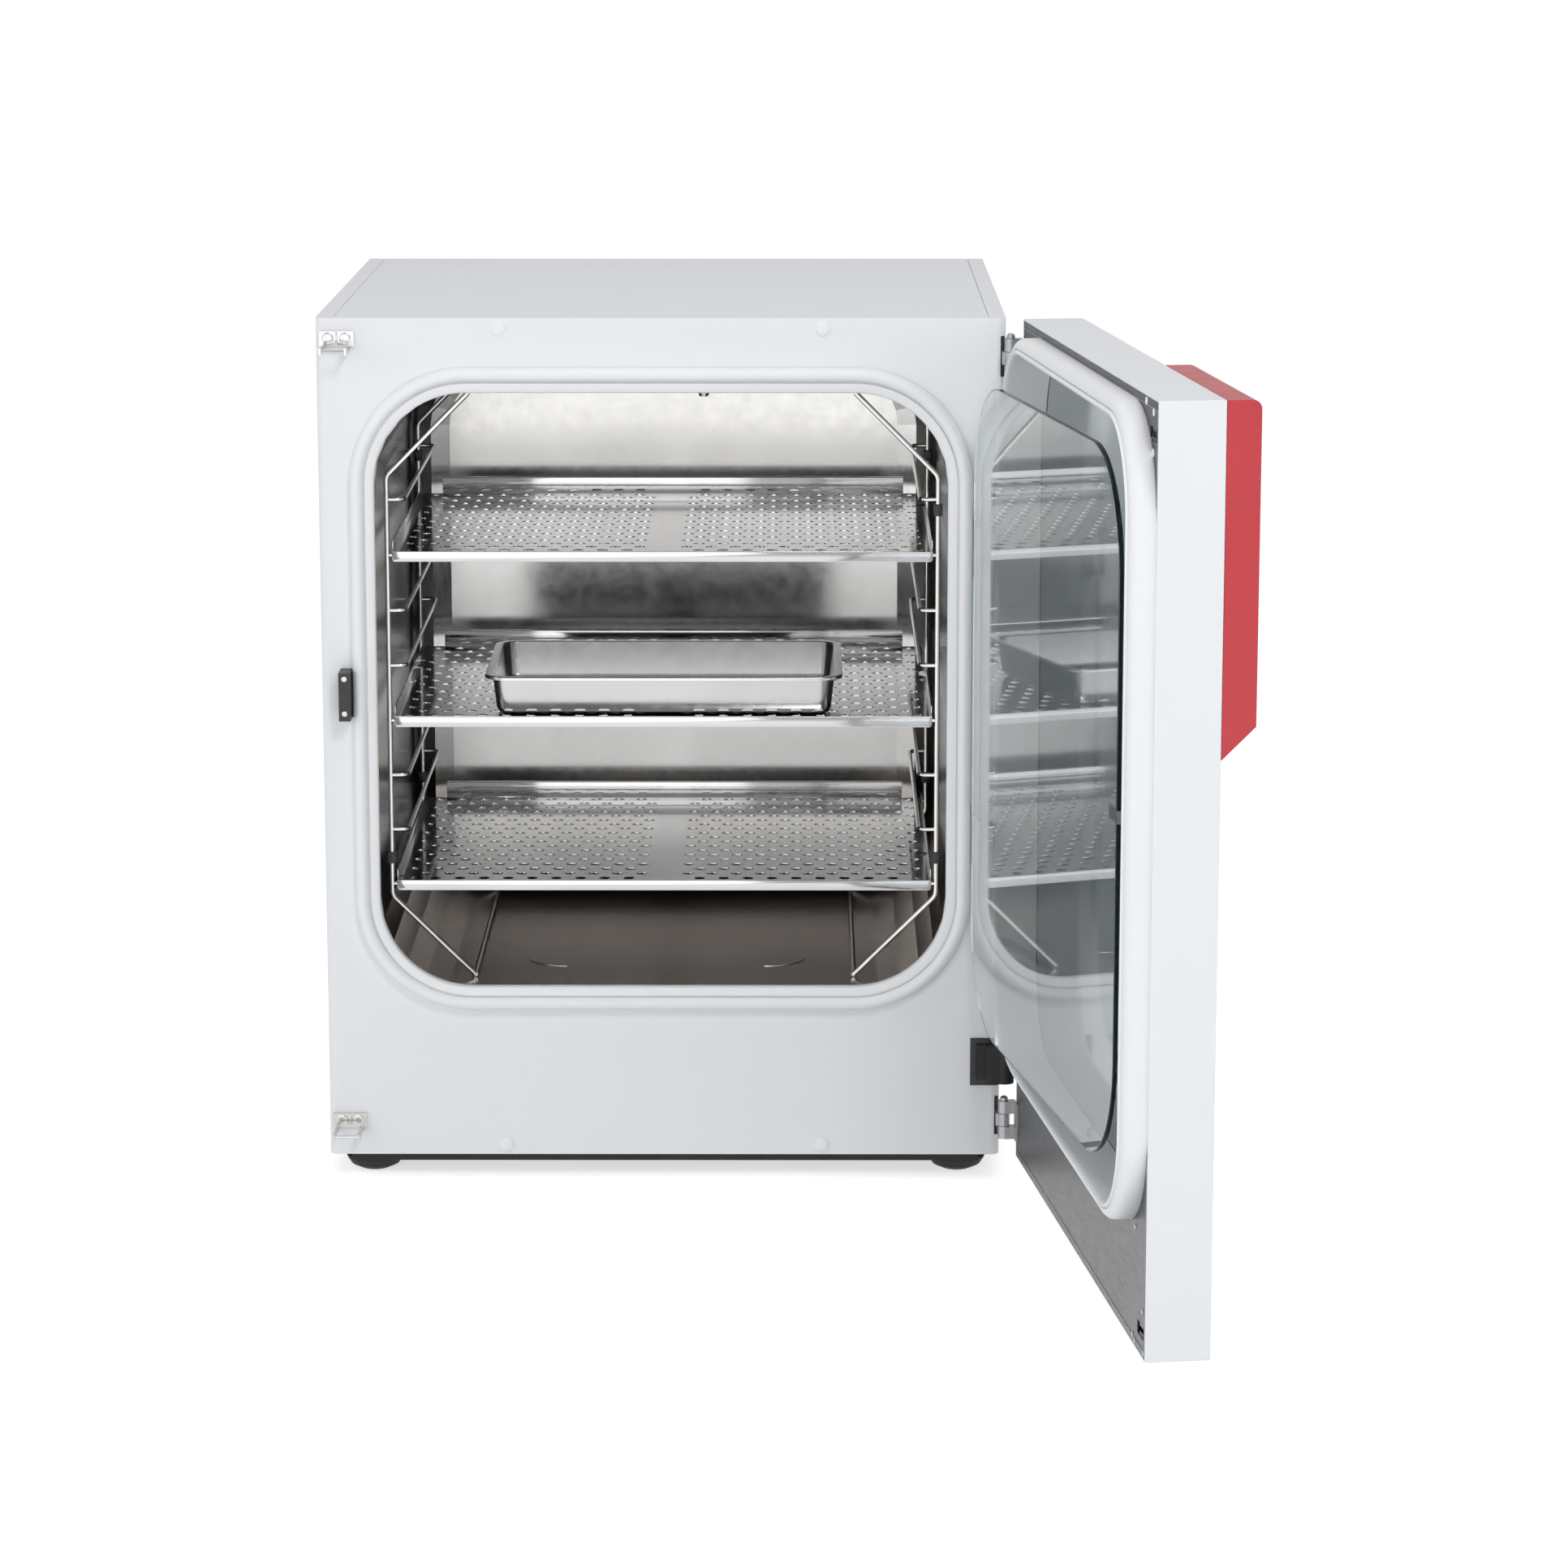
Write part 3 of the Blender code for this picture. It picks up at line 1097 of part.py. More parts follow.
def make_glass_hinge(name, low, axis):
    """Bracket on the frame, and the fitting that clamps the pane's edge."""
    high = low + FITTING_HEIGHT
    ear = 0.0050
    left, right = GLASS_AXIS_X - BARREL_RADIUS, GLASS_AXIS_X + BARREL_RADIUS
    bracket = block(f"{name}_glass_hinge_bracket", (left, out(0.0025), low - ear),
                    (right, out(FIT), high + ear), WHITE)
    for start in (low - ear, high):
        join(bracket, block("ear", (left, GLASS_AXIS.y - 0.75 * BARREL_RADIUS,
                                        start + FIT / 2),
                            (right, out(0.0012), start + ear - FIT / 2), WHITE))
    join(bracket, disc("pin", (GLASS_AXIS_X, GLASS_AXIS.y, (low + high) / 2), (0, 0, 1),
                       BARREL_PIN_RADIUS, FITTING_HEIGHT + ear, WHITE, sides=12))
    barrel = disc(f"{name}_glass_hinge_fitting",
                  (GLASS_AXIS_X, GLASS_AXIS.y, (low + high) / 2), (0, 0, 1), BARREL_RADIUS,
                  FITTING_HEIGHT - RUNNING, WHITE, sides=16)
    face = GLASS_BACK_OUT + GLASS_THICKNESS
    join(barrel, block("leaf", (GLASS_AXIS_X - FITTING_WIDTH, out(face + FIT + FITTING_SHEET),
                                low + RUNNING),
                       (GLASS_AXIS_X - 0.001, out(face + FIT), high - RUNNING), WHITE))
    cut(barrel, disc("bore", (GLASS_AXIS_X, GLASS_AXIS.y, (low + high) / 2), (0, 0, 1),
                     BARREL_PIN_RADIUS + FIT, 0.2, WHITE, sides=12))
    carry(axis, barrel)


def rear_windows(panel):
    """Holes in the back panel for the inlet and the switch."""
    z = rise(REAR_PARTS_RISE)
    for x, width, height in ((INLET_X, INLET_WIDTH, INLET_HEIGHT),
                             (SWITCH_X, SWITCH_WIDTH, SWITCH_HEIGHT)):
        cut(panel, block("window", (x - width / 2 - FIT, BACK_Y - 0.02, z - height / 2 - FIT),
                         (x + width / 2 + FIT, BACK_Y + 0.02, z + height / 2 + FIT), WHITE))


def centred(name, x, width, y_front, y_back, height, skin):
    """Box centred on the rear fittings' line."""
    z = rise(REAR_PARTS_RISE)
    return block(name, (x - width / 2, y_front, z - height / 2),
                 (x + width / 2, y_back, z + height / 2), skin)


def make_rear():
    """Inlet, switch and the board behind the back panel."""
    inside = BACK_Y - INLET_DEPTH
    inlet = centred("mains_inlet", INLET_X, INLET_WIDTH, inside, BACK_Y + 0.002,
                    INLET_HEIGHT, BLACK)
    cut(inlet, centred("socket", INLET_X, INLET_SOCKET_WIDTH, inside + 0.006, BACK_Y + 1,
                       INLET_SOCKET_HEIGHT, BLACK))
    well_width = SWITCH_WIDTH - 2 * SWITCH_RIM
    well_height = SWITCH_HEIGHT - 2 * SWITCH_RIM
    body = centred("switch_body", SWITCH_X, SWITCH_WIDTH, inside, BACK_Y + 0.001,
                   SWITCH_HEIGHT, BLACK)
    cut(body, centred("well", SWITCH_X, well_width, BACK_Y - 0.012, BACK_Y + 1, well_height,
                      BLACK))
    shaft = (SWITCH_X, BACK_Y - 0.005, rise(REAR_PARTS_RISE))
    cut(body, disc("shaft_bore", shaft, (1, 0, 0), 0.0015 + FIT, well_width + 0.002, BLACK,
                   sides=12))
    rocker = centred("switch_rocker", SWITCH_X, well_width - 2 * RUNNING, BACK_Y - 0.004,
                     BACK_Y + 0.002, well_height - 0.002, BLACK)
    join(rocker, disc("hub", shaft, (1, 0, 0), 0.003, well_width - 2 * RUNNING, BLACK,
                      sides=12),
         disc("shaft", shaft, (1, 0, 0), 0.0015, well_width + 0.002 - 2 * FIT, BLACK,
              sides=12))
    wool_back = FRONT_Y + CHAMBER_DEPTH + LINER + 2 * FIT + REAR_INSULATION
    board_y = wool_back + BOARD_STANDOFF
    half = BOARD_WIDTH / 2
    board = block("control_board", (-half, board_y, rise(BOARD_RISE)),
                  (half, board_y + BOARD_THICKNESS, rise(BOARD_RISE) + BOARD_HEIGHT), GREEN)
    for x in (-half + 0.01, half - 0.01):
        for z in (rise(BOARD_RISE) + 0.01, rise(BOARD_RISE) + BOARD_HEIGHT - 0.01):
            join(board, disc("standoff", (x, board_y + (FIT - BOARD_STANDOFF) / 2 + FIT / 2,
                                          z), (0, 1, 0), 0.003, BOARD_STANDOFF, GREEN,
                             sides=8))


make_casing()
make_front_frame()
make_chamber()
make_racks()
make_shelves()
make_port()
make_strikers()
make_cabinet_leaves()
make_outer_door()
make_glass_door()
make_rear()
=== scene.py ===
"""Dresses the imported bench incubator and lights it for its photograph's view.

Metres, +Z up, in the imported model's frame. Door pieces are modelled shut, in front of
the cabinet, and then turned about their hinge lines to the open rest pose.
"""

import logging
import math
from collections.abc import Callable, Sequence
from dataclasses import dataclass
from enum import Enum

import bpy
from mathutils import Matrix, Vector


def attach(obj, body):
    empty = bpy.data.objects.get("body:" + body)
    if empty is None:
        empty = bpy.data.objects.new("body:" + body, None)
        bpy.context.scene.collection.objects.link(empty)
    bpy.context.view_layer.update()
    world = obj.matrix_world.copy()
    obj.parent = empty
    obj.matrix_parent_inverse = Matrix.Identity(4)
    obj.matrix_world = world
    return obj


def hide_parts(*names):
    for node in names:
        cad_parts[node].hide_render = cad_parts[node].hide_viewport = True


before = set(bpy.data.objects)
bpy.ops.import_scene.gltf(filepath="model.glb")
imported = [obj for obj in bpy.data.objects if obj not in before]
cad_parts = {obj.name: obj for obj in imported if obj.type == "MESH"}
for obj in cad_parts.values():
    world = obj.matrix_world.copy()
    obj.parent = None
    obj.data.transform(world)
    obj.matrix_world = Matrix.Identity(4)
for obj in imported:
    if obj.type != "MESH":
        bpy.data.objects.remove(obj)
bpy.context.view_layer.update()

LOG = logging.getLogger("incubator")

Point = tuple[float, float, float]
Colour = tuple[float, float, float]
Pair = tuple[float, float]
Test = Callable[[Vector, Vector], bool]
Piece = bpy.types.Object
Socket = bpy.types.NodeSocket

# Gap or overlap that keeps the faces of two touching pieces apart
HAIR = 0.0001
# Distance under which corners are merged
MERGE = 0.000005
# Least cosine between two directions that count as the same
ALIGNED = 0.9
# Most of a straight run that a bend at one of its ends may take
BEND_SHARE = 0.49
# Noise values between which a pattern goes from one end to the other
CONTRAST = (0.3, 0.7)


class Body(Enum):
    """Rigid bodies that pieces ride on."""

    CABINET = "cabinet"
    OUTER_DOOR = "outer_door"
    GLASS_DOOR = "glass_door"
    TOP_SHELF = "top_shelf"
    MIDDLE_SHELF = "middle_shelf"
    BOTTOM_SHELF = "bottom_shelf"


class Slot(Enum):
    """Material slots of the record."""

    WHITE_PAINT = "white_paint"
    BLACK_PLASTIC = "black_plastic"
    BLACK_RUBBER = "black_rubber"
    STAINLESS = "stainless_steel"
    BRIGHT = "bright_plating"
    SILICONE = "white_silicone"
    ZINC = "zinc_sheet"
    GLASS = "clear_glass"


class Kind(Enum):
    """Kinds of mesh element, in the order of the select modes."""

    CORNERS = 0
    EDGES = 1
    FACES = 2


class Facing(Enum):
    """Ways that a flat outline can face, as the plane's rotation."""

    FRONT = (math.pi / 2, 0.0, 0.0)
    BACK = (-math.pi / 2, 0.0, 0.0)
    UP = (0.0, 0.0, 0.0)

    @property
    def turn(self) -> Matrix:
        """The rotation from facing up."""
        return Matrix.Rotation(self.value[0], 3, "X")

    @property
    def away(self) -> Vector:
        """Unit vector out of the face."""
        return self.turn @ Vector((0, 0, 1))


class Head(Enum):
    """Radius and height of each kind of screw head."""

    BACK_PANEL = (0.0042, 0.0014)
    STRIKER = (0.0056, 0.0010)
    CATCH = (0.0028, 0.0008)
    INNER_SHEET = (0.0026, 0.0008)


# Finishes


def add_node(tree: bpy.types.NodeTree, kind: str,
             inputs: dict[str | int, float | tuple | Socket],
             **settings: str) -> bpy.types.Node:
    """Add a shader node.

    Args:
        tree: The tree that gets it.
        kind: Its type.
        inputs: A constant or a socket for each input, by name or place.
        **settings: Its other settings, such as its operation.

    Returns:
        The new node.
    """
    node = tree.nodes.new(kind)
    for setting, choice in settings.items():
        setattr(node, setting, choice)
    for key, value in inputs.items():
        if isinstance(value, Socket):
            tree.links.new(value, node.inputs[key])
        else:
            node.inputs[key].default_value = value
    return node


class Surface:
    """Node tree of one material, with a Principled shader in Object coordinates."""

    def __init__(self, name: str) -> None:
        """Start a material.

        Args:
            name: The finish's name.
        """
        self.material = bpy.data.materials.new(name)
        self.material.use_nodes = True
        self.tree = self.material.node_tree
        self.shader = self.tree.nodes["Principled BSDF"]
        self.place = self.tree.nodes.new("ShaderNodeTexCoord").outputs["Object"]

    def set(self, **values: float | tuple) -> None:
        """Set constants on the shader.

        Args:
            **values: The constants by socket name, with _ for each space.
        """
        for socket, value in values.items():
            if isinstance(value, tuple):
                value = (*value, 1.0)
            self.shader.inputs[socket.replace("_", " ")].default_value = value

    def stretched(self, scale: Point) -> Socket:
        """Coordinates scaled by a different factor along each axis."""
        return add_node(self.tree, "ShaderNodeMapping",
                        {"Scale": scale, "Vector": self.place}).outputs["Vector"]

    def noise(self, scale: float, detail: float = 3.0, rough: float = 0.55,
              where: Socket | None = None) -> Socket:
        """Noise value from 0 to 1.

        Args:
            scale: Cells per metre.
            detail: Octaves.
            rough: Weight of the finer octaves.
            where: Coordinates, or the piece's own.

        Returns:
            The noise node's value socket.
        """
        return add_node(self.tree, "ShaderNodeTexNoise",
                        {"Scale": scale, "Detail": detail, "Roughness": rough,
                         "Vector": where or self.place}).outputs["Fac"]

    def range(self, value: Socket, low: float, high: float,
              ends: Pair = CONTRAST) -> Socket:
        """Map a value between two ends onto low to high."""
        return add_node(self.tree, "ShaderNodeMapRange",
                        {"Value": value, "From Min": ends[0], "From Max": ends[1],
                         "To Min": low, "To Max": high}).outputs["Result"]

    def mottle(self, value: Socket, colour: Colour, share: float) -> None:
        """Colour the shader, a little darker and lighter by a value.

        Args:
            value: The socket that chooses the shade.
            colour: The colour in the middle.
            share: How much darker and lighter it gets.
        """
        node = add_node(self.tree, "ShaderNodeValToRGB", {"Fac": value})
        stops = zip(node.color_ramp.elements, CONTRAST, (1 - share, 1 + share))
        for stop, position, factor in stops:
            stop.position = position
            stop.color = (*(channel * factor for channel in colour), 1)
        self.tree.links.new(node.outputs["Color"], self.shader.inputs["Base Color"])

    def paint_shade_below(self, ends: Pair, shade_colour: Colour) -> None:
        """Paint shade below a height, by multiplying the colour by a darker colour.

        Args:
            ends: Height under which the painted shade is full, and height over which it is
                none.
            shade_colour: The darker colour of the painted shade.
        """
        # Painted shade: the colour is multiplied by a darker colour towards the bottom.
        split = add_node(self.tree, "ShaderNodeSeparateXYZ", {0: self.place})
        base = self.shader.inputs["Base Color"]
        mix = add_node(self.tree, "ShaderNodeMix",
                       {"Factor": self.range(split.outputs["Z"], 1.0, 0.0, ends),
                        "A": base.links[0].from_socket, "B": (*shade_colour, 1.0)},
                       data_type="RGBA", blend_type="MULTIPLY")
        self.tree.links.new(mix.outputs["Result"], base)

    def roughen(self, value: Socket, middle: float, spread: float) -> None:
        """Let the roughness wander around its middle by a value."""
        self.tree.links.new(self.range(value, middle - spread, middle + spread),
                            self.shader.inputs["Roughness"])

    def relief(self, value: Socket, depth: float, strength: float) -> None:
        """Raise the surface by a value.

        Args:
            value: Height from 0 to 1.
            depth: Height of 1, in metres.
            strength: Share of the relief that shows.
        """
        node = add_node(self.tree, "ShaderNodeBump",
                        {"Distance": depth, "Strength": strength, "Height": value})
        self.tree.links.new(node.outputs["Normal"], self.shader.inputs["Normal"])


@dataclass(frozen=True)
class Coating:
    """Paint, lacquer, rubber or moulded plastic with a fine even grain."""

    name: str
    colour: Colour
    roughness: float
    grain: float = 1500.0
    depth: float = 0.0002
    strength: float = 0.12
    mottle: float = 0.02
    coat: float = 0.0
    coat_roughness: float = 0.12
    patches: float = 14.0
    smudges: float = 40.0
    spread: float = 0.04

    def make(self) -> bpy.types.Material:
        """Build the material."""
        surface = Surface(self.name)
        surface.set(Coat_Weight=self.coat, Coat_Roughness=self.coat_roughness)
        surface.mottle(surface.noise(self.patches, 4.0), self.colour, self.mottle)
        surface.roughen(surface.noise(self.smudges), self.roughness, self.spread)
        surface.relief(surface.noise(self.grain, 2.0), self.depth, self.strength)
        return surface.material


@dataclass(frozen=True)
class Metal:
    """Sheet or wire metal, with a rolled or brushed grain where it is uneven."""

    name: str
    colour: Colour
    roughness: float
    grain: Point = (1.0, 1.0, 1.0)
    scale: float = 28.0
    depth: float = 0.0001
    strength: float = 0.15
    spread: float = 0.07
    mottle: float = 0.05
    patches: float = 9.0
    # Painted shade below a height: where it is full, where it ends, and its darker colour.
    low: tuple[Pair, Colour] | None = None

    def make(self) -> bpy.types.Material:
        """Build the material, with painted shade below a height where low is given."""
        surface = Surface(self.name)
        surface.set(Metallic=1.0)
        streaks = surface.noise(self.scale, 4.0, 0.6, surface.stretched(self.grain))
        surface.mottle(surface.noise(self.patches, 5.0), self.colour, self.mottle)
        surface.roughen(streaks, self.roughness, self.spread)
        surface.relief(streaks, self.depth, self.strength)
        # Painted shade, darker towards the bottom.
        if self.low:
            surface.paint_shade_below(*self.low)
        return surface.material


@dataclass(frozen=True)
class Glazing:
    """Clear flat glass."""

    name: str
    colour: Colour
    ior: float = 1.5
    patches: float = 6.0
    roughness: float = 0.0075

    def make(self) -> bpy.types.Material:
        """Build the material."""
        surface = Surface(self.name)
        surface.set(Base_Color=self.colour, IOR=self.ior, Transmission_Weight=1.0)
        surface.roughen(surface.noise(self.patches), self.roughness, self.roughness)
        return surface.material


class Finish(Enum):
    """Every finish on the object."""

    WHITE = Coating("white_powder_coat", (0.80, 0.82, 0.845), 0.42, mottle=0.006)
    BLACK_COAT = Coating("black_powder_coat", (0.006, 0.006, 0.007), 0.62, grain=900.0)
    BLACK_MOULDED = Coating("black_moulded_plastic", (0.014, 0.014, 0.016), 0.42,
                            grain=2200.0)
    RUBBER = Coating("black_rubber_grip", (0.012, 0.012, 0.012), 0.68, grain=700.0,
                     mottle=0.08)
    SILICONE = Coating("white_silicone_rubber", (0.83, 0.845, 0.86), 0.5, grain=2500.0,
                       strength=0.05, mottle=0.008)
    RED = Coating("red_textured_lacquer", (0.52, 0.034, 0.044), 0.4, grain=1100.0,
                  strength=0.25, mottle=0.03, coat=0.15)
    WOOL = Coating("mineral_wool_board", (0.42, 0.36, 0.22), 0.95, grain=260.0,
                   depth=0.002, strength=0.8, mottle=0.3)
    BOARD = Coating("green_circuit_board", (0.015, 0.12, 0.05), 0.35, grain=600.0,
                    mottle=0.2)
    SCREEN = Coating("black_screen_glass", (0.008, 0.009, 0.011), 0.1, grain=60.0,
                     depth=0.00001, strength=0.02, coat=1.0)
    # The chamber sheet has painted shade: brownish and darker below 0.32 m, full below 0.215
    # m.
    LINER = Metal("chamber_stainless_sheet_painted_shade", (0.465, 0.46, 0.45), 0.18,
                  grain=(1.0, 14.0, 1.0), scale=60.0, strength=0.02, spread=0.03,
                  low=((0.215, 0.320), (0.66, 0.60, 0.555)))
    SHELF = Metal("shelf_stainless_sheet", (0.52, 0.52, 0.525), 0.10,
                  grain=(0.6, 30.0, 30.0), strength=0.02, spread=0.03)
    PAN = Metal("pan_stainless_sheet", (0.52, 0.52, 0.52), 0.22, scale=60.0,
                strength=0.03, spread=0.04)
    WIRE = Metal("rack_stainless_wire", (0.62, 0.61, 0.60), 0.2, scale=120.0)
    BRIGHT = Metal("bright_nickel_plating", (0.50, 0.495, 0.485), 0.18,
                   scale=60.0, strength=0.05, spread=0.05)
    ZINC = Metal("zinc_coated_sheet", (0.098, 0.098, 0.102), 0.38,
                 grain=(1.0, 1.0, 26.0), scale=34.0)
    HINGE = Metal("satin_hinge_metal", (0.38, 0.385, 0.39), 0.38, scale=220.0)
    MIRROR = Metal("polished_door_panel", (0.47, 0.50, 0.52), 0.06,
                   grain=(1.0, 8.0, 1.0), scale=12.0, strength=0.003, spread=0.02,
                   mottle=0.01)
    ALUMINIUM = Metal("anodised_aluminium", (0.72, 0.72, 0.73), 0.3,
                      grain=(1.0, 1.0, 30.0), strength=0.04, mottle=0.01)
    GLASS = Glazing("clear_float_glass", (0.93, 0.96, 0.965))
    GLASS_EDGE = Glazing("green_glass_edge", (0.12, 0.45, 0.40))

    def material(self) -> bpy.types.Material:
        """The finish's material, built once."""
        found = bpy.data.materials.get(self.value.name)
        return found or self.value.make()


def rows(*words: str) -> tuple[str, ...]:
    """Names of the upper and the lower node of each word."""
    return tuple(f"{row}_{word}" for word in words for row in ("upper", "lower"))


NODE_FINISHES: dict[Finish, tuple[str, ...]] = {
    Finish.WHITE: ("left_side_panel", "right_side_panel", "top_panel", "back_panel",
                   "front_frame", "door_shell",
                   *rows("glass_hinge_bracket", "glass_hinge_fitting")),
    Finish.BLACK_COAT: ("base_tray",),
    Finish.RUBBER: ("foot_front_left", "foot_front_right", "foot_rear_left",
                    "foot_rear_right", "cable_boot"),
    Finish.SILICONE: ("chamber_seal", "door_ring"),
    Finish.LINER: ("inner_chamber", "temperature_probe"),
    Finish.WOOL: ("insulation_left", "insulation_right", "insulation_top",
                  "insulation_bottom", "insulation_rear", "door_insulation"),
    Finish.ALUMINIUM: ("heater_plate", "badge_plate"),
    Finish.WIRE: ("left_rack", "right_rack"),
    Finish.BLACK_MOULDED: ("cable_port_frame", "glass_door_catch", "mains_inlet",
                           "switch_body", "switch_rocker", "door_handle",
                           "glass_latch_lever"),
    Finish.BRIGHT: (*rows("striker", "latch_claw"), "glass_latch_clamp"),
    Finish.HINGE: rows("hinge_cabinet_leaf", "hinge_door_leaf", "hinge_pin"),
    Finish.BOARD: ("control_board",),
    Finish.ZINC: ("door_inner_panel",),
    Finish.MIRROR: ("door_mirror_panel",),
    Finish.RED: ("console_housing",),
    Finish.SCREEN: ("touch_screen",),
    Finish.GLASS: ("glass_pane",),
    Finish.SHELF: ("shelf_top", "shelf_middle", "shelf_bottom"),
    Finish.PAN: ("water_pan",),
}


# Modelling by operators


def rest_all() -> None:
    """Leave edit mode and deselect every object."""
    if bpy.context.mode != "OBJECT":
        bpy.ops.object.mode_set(mode="OBJECT")
    bpy.ops.object.select_all(action="DESELECT")


def activate(*pieces: Piece) -> None:
    """Select pieces alone and make the first one active.

    Args:
        *pieces: The pieces.
    """
    rest_all()
    for piece in pieces:
        piece.select_set(True)
    bpy.context.view_layer.objects.active = pieces[0]


def settle(piece: Piece) -> Piece:
    """Put a piece's place, turn and scale into its mesh.

    Args:
        piece: The piece.

    Returns:
        The same piece.
    """
    activate(piece)
    bpy.ops.object.transform_apply(location=True, rotation=True, scale=True)
    return piece


def added(name: str, scale: Sequence[float] = (1.0, 1.0, 1.0)) -> Piece:
    """Name, scale and settle the piece that an operator has just added.

    Args:
        name: Its name.
        scale: Its scale along each axis.

    Returns:
        The piece.
    """
    piece = bpy.context.object
    piece.name, piece.scale = name, scale
    return settle(piece)


def modify(piece: Piece, kind: str, **settings: float | str | Point) -> Piece:
    """Apply a modifier.

    Args:
        piece: The piece.
        kind: The modifier's type.
        **settings: Its settings.

    Returns:
        The same piece.
    """
    activate(piece)
    tool = piece.modifiers.new(kind, kind)
    for setting, value in settings.items():
        setattr(tool, setting, value)
    bpy.ops.object.modifier_apply(modifier=tool.name)
    return piece


def choose(piece: Piece, kind: Kind, test: Test) -> None:
    """Enter edit mode with only the elements that pass a test selected.

    Args:
        piece: The mesh.
        kind: The kind of element.
        test: Takes the place and the normal of an element. An edge's normal is its
            direction.
    """
    activate(piece)
    mesh = piece.data
    for group in (mesh.vertices, mesh.edges, mesh.polygons):
        for element in group:
            element.select = False
    if kind is Kind.CORNERS:
        for vertex in mesh.vertices:
            vertex.select = test(vertex.co, vertex.normal)
    elif kind is Kind.EDGES:
        for edge in mesh.edges:
            first, last = (mesh.vertices[index].co for index in edge.vertices)
            edge.select = test((first + last) / 2, (last - first).normalized())
    else:
        for polygon in mesh.polygons:
            polygon.select = test(polygon.center, polygon.normal)
    bpy.context.tool_settings.mesh_select_mode = tuple(kind is each for each in Kind)
    bpy.ops.object.mode_set(mode="EDIT")


def everything(_place: Vector, _normal: Vector) -> bool:
    """Test that every element passes."""
    return True


def looks(away: Vector) -> Test:
    """Make a test for elements whose normal points one way."""
    return lambda _place, normal: normal.dot(away) > ALIGNED


def make_block(name: str, low: Sequence[float], high: Sequence[float]) -> Piece:
    """Add a cuboid, as the start of a piece.

    Args:
        name: The piece's name.
        low: Its lowest corner.
        high: Its highest corner.

    Returns:
        The new piece.
    """
    rest_all()
    bpy.ops.mesh.primitive_cube_add(size=1,
                                    location=[(a + b) / 2 for a, b in zip(low, high)])
    return added(name, [b - a for a, b in zip(low, high)])


def make_disc(name: str, centre: Point, facing: Facing, radius: float, length: float,
              sides: int = 24) -> Piece:
    """Add a round bar end that stands out of a face, as the start of a piece.

    Args:
        name: The piece's name.
        centre: Middle of its foot.
        facing: The way that it stands out.
        radius: Its radius.
        length: How far it stands out.
        sides: Number of its sides.

    Returns:
        The new piece.
    """
    rest_all()
    bpy.ops.mesh.primitive_cylinder_add(
        vertices=sides, radius=radius, depth=length,
        location=Vector(centre) + facing.away * length / 2, rotation=facing.value)
    return added(name)


def make_outline(name: str, middle: Point, size: Pair, corner: float, facing: Facing,
                 segments: int = 10) -> Piece:
    """Add a flat face with rounded corners, as the start of a piece.

    Args:
        name: The piece's name.
        middle: Its middle.
        size: Its width and its height or depth.
        corner: Radius of its corners.
        facing: The way that it faces.
        segments: Faces along each corner.

    Returns:
        The new piece.
    """
    rest_all()
    bpy.ops.mesh.primitive_plane_add(size=1, location=middle, rotation=facing.value)
    piece = added(name, (*size, 1.0))
    if corner > 0:
        choose(piece, Kind.CORNERS, everything)
        bpy.ops.mesh.bevel(offset=corner, segments=segments, profile=0.5,
                           affect="VERTICES")
        rest_all()
    return piece


def contour(piece: Piece, steps: Sequence[Pair], hole: bool = True) -> None:
    """Build a profile inwards from a flat outline, step by step.

    Args:
        piece: A piece of one flat face.
        steps: How far each step goes in, and how far it goes out along the face's normal.
        hole: Whether the last face is opened and the ring closed behind it.
    """
    choose(piece, Kind.FACES, everything)
    for inward, forward in steps:
        bpy.ops.mesh.inset(thickness=inward, depth=forward, use_even_offset=True)
    if hole:
        bpy.ops.mesh.delete(type="FACE")
        bpy.ops.mesh.select_mode(type="EDGE")
        bpy.ops.mesh.select_all(action="DESELECT")
        bpy.ops.mesh.select_non_manifold()
        bpy.ops.mesh.bridge_edge_loops()
    close(piece)


def close(piece: Piece) -> Piece:
    """Merge doubles and turn the faces outwards.

    Args:
        piece: The piece.

    Returns:
        The same piece.
    """
    choose(piece, Kind.CORNERS, everything)
    bpy.ops.mesh.remove_doubles(threshold=MERGE)
    bpy.ops.mesh.select_all(action="SELECT")
    bpy.ops.mesh.normals_make_consistent(inside=False)
    rest_all()
    return piece


def soften(piece: Piece, width: float, angle: float = 40.0) -> Piece:
    """Round the edges that are sharper than an angle, by two faces each."""
    return smooth(modify(piece, "BEVEL", width=width, segments=2, limit_method="ANGLE",
                         angle_limit=math.radians(angle)))


def thicken(piece: Piece, thickness: float, even: bool = True) -> None:
    """Give a surface its sheet thickness, inwards, with even walls at bends or not."""
    modify(piece, "SOLIDIFY", thickness=thickness, offset=-1.0, use_even_offset=even)


def repeat(piece: Piece, step: Point, count: int) -> None:
    """Repeat a piece in a straight row."""
    modify(piece, "ARRAY", use_relative_offset=False, use_constant_offset=True,
           constant_offset_displace=step, count=count)


def smooth(piece: Piece, angle: float = 35.0) -> Piece:
    """Shade a piece smooth.

    Args:
        piece: The piece.
        angle: The sharpest bend that is smoothed, in degrees.

    Returns:
        The same piece.
    """
    activate(piece)
    bpy.ops.object.shade_smooth_by_angle(angle=math.radians(angle))
    return piece


def unite(name: str, *pieces: Piece) -> Piece:
    """Join pieces into one.

    Args:
        name: The joined piece's name.
        *pieces: The pieces, of which the first keeps its place.

    Returns:
        The joined piece.
    """
    activate(*pieces)
    bpy.ops.object.join()
    bpy.context.object.name = name
    return bpy.context.object


def copied(piece: Piece, name: str, move: Point) -> Piece:
    """Copy a piece with its own mesh.

    Args:
        piece: The piece.
        name: The copy's name.
        move: How far the copy is moved.

    Returns:
        The copy.
    """
    activate(piece)
    bpy.ops.object.duplicate(linked=False)
    twin = bpy.context.object
    twin.name, twin.location = name, move
    return settle(twin)


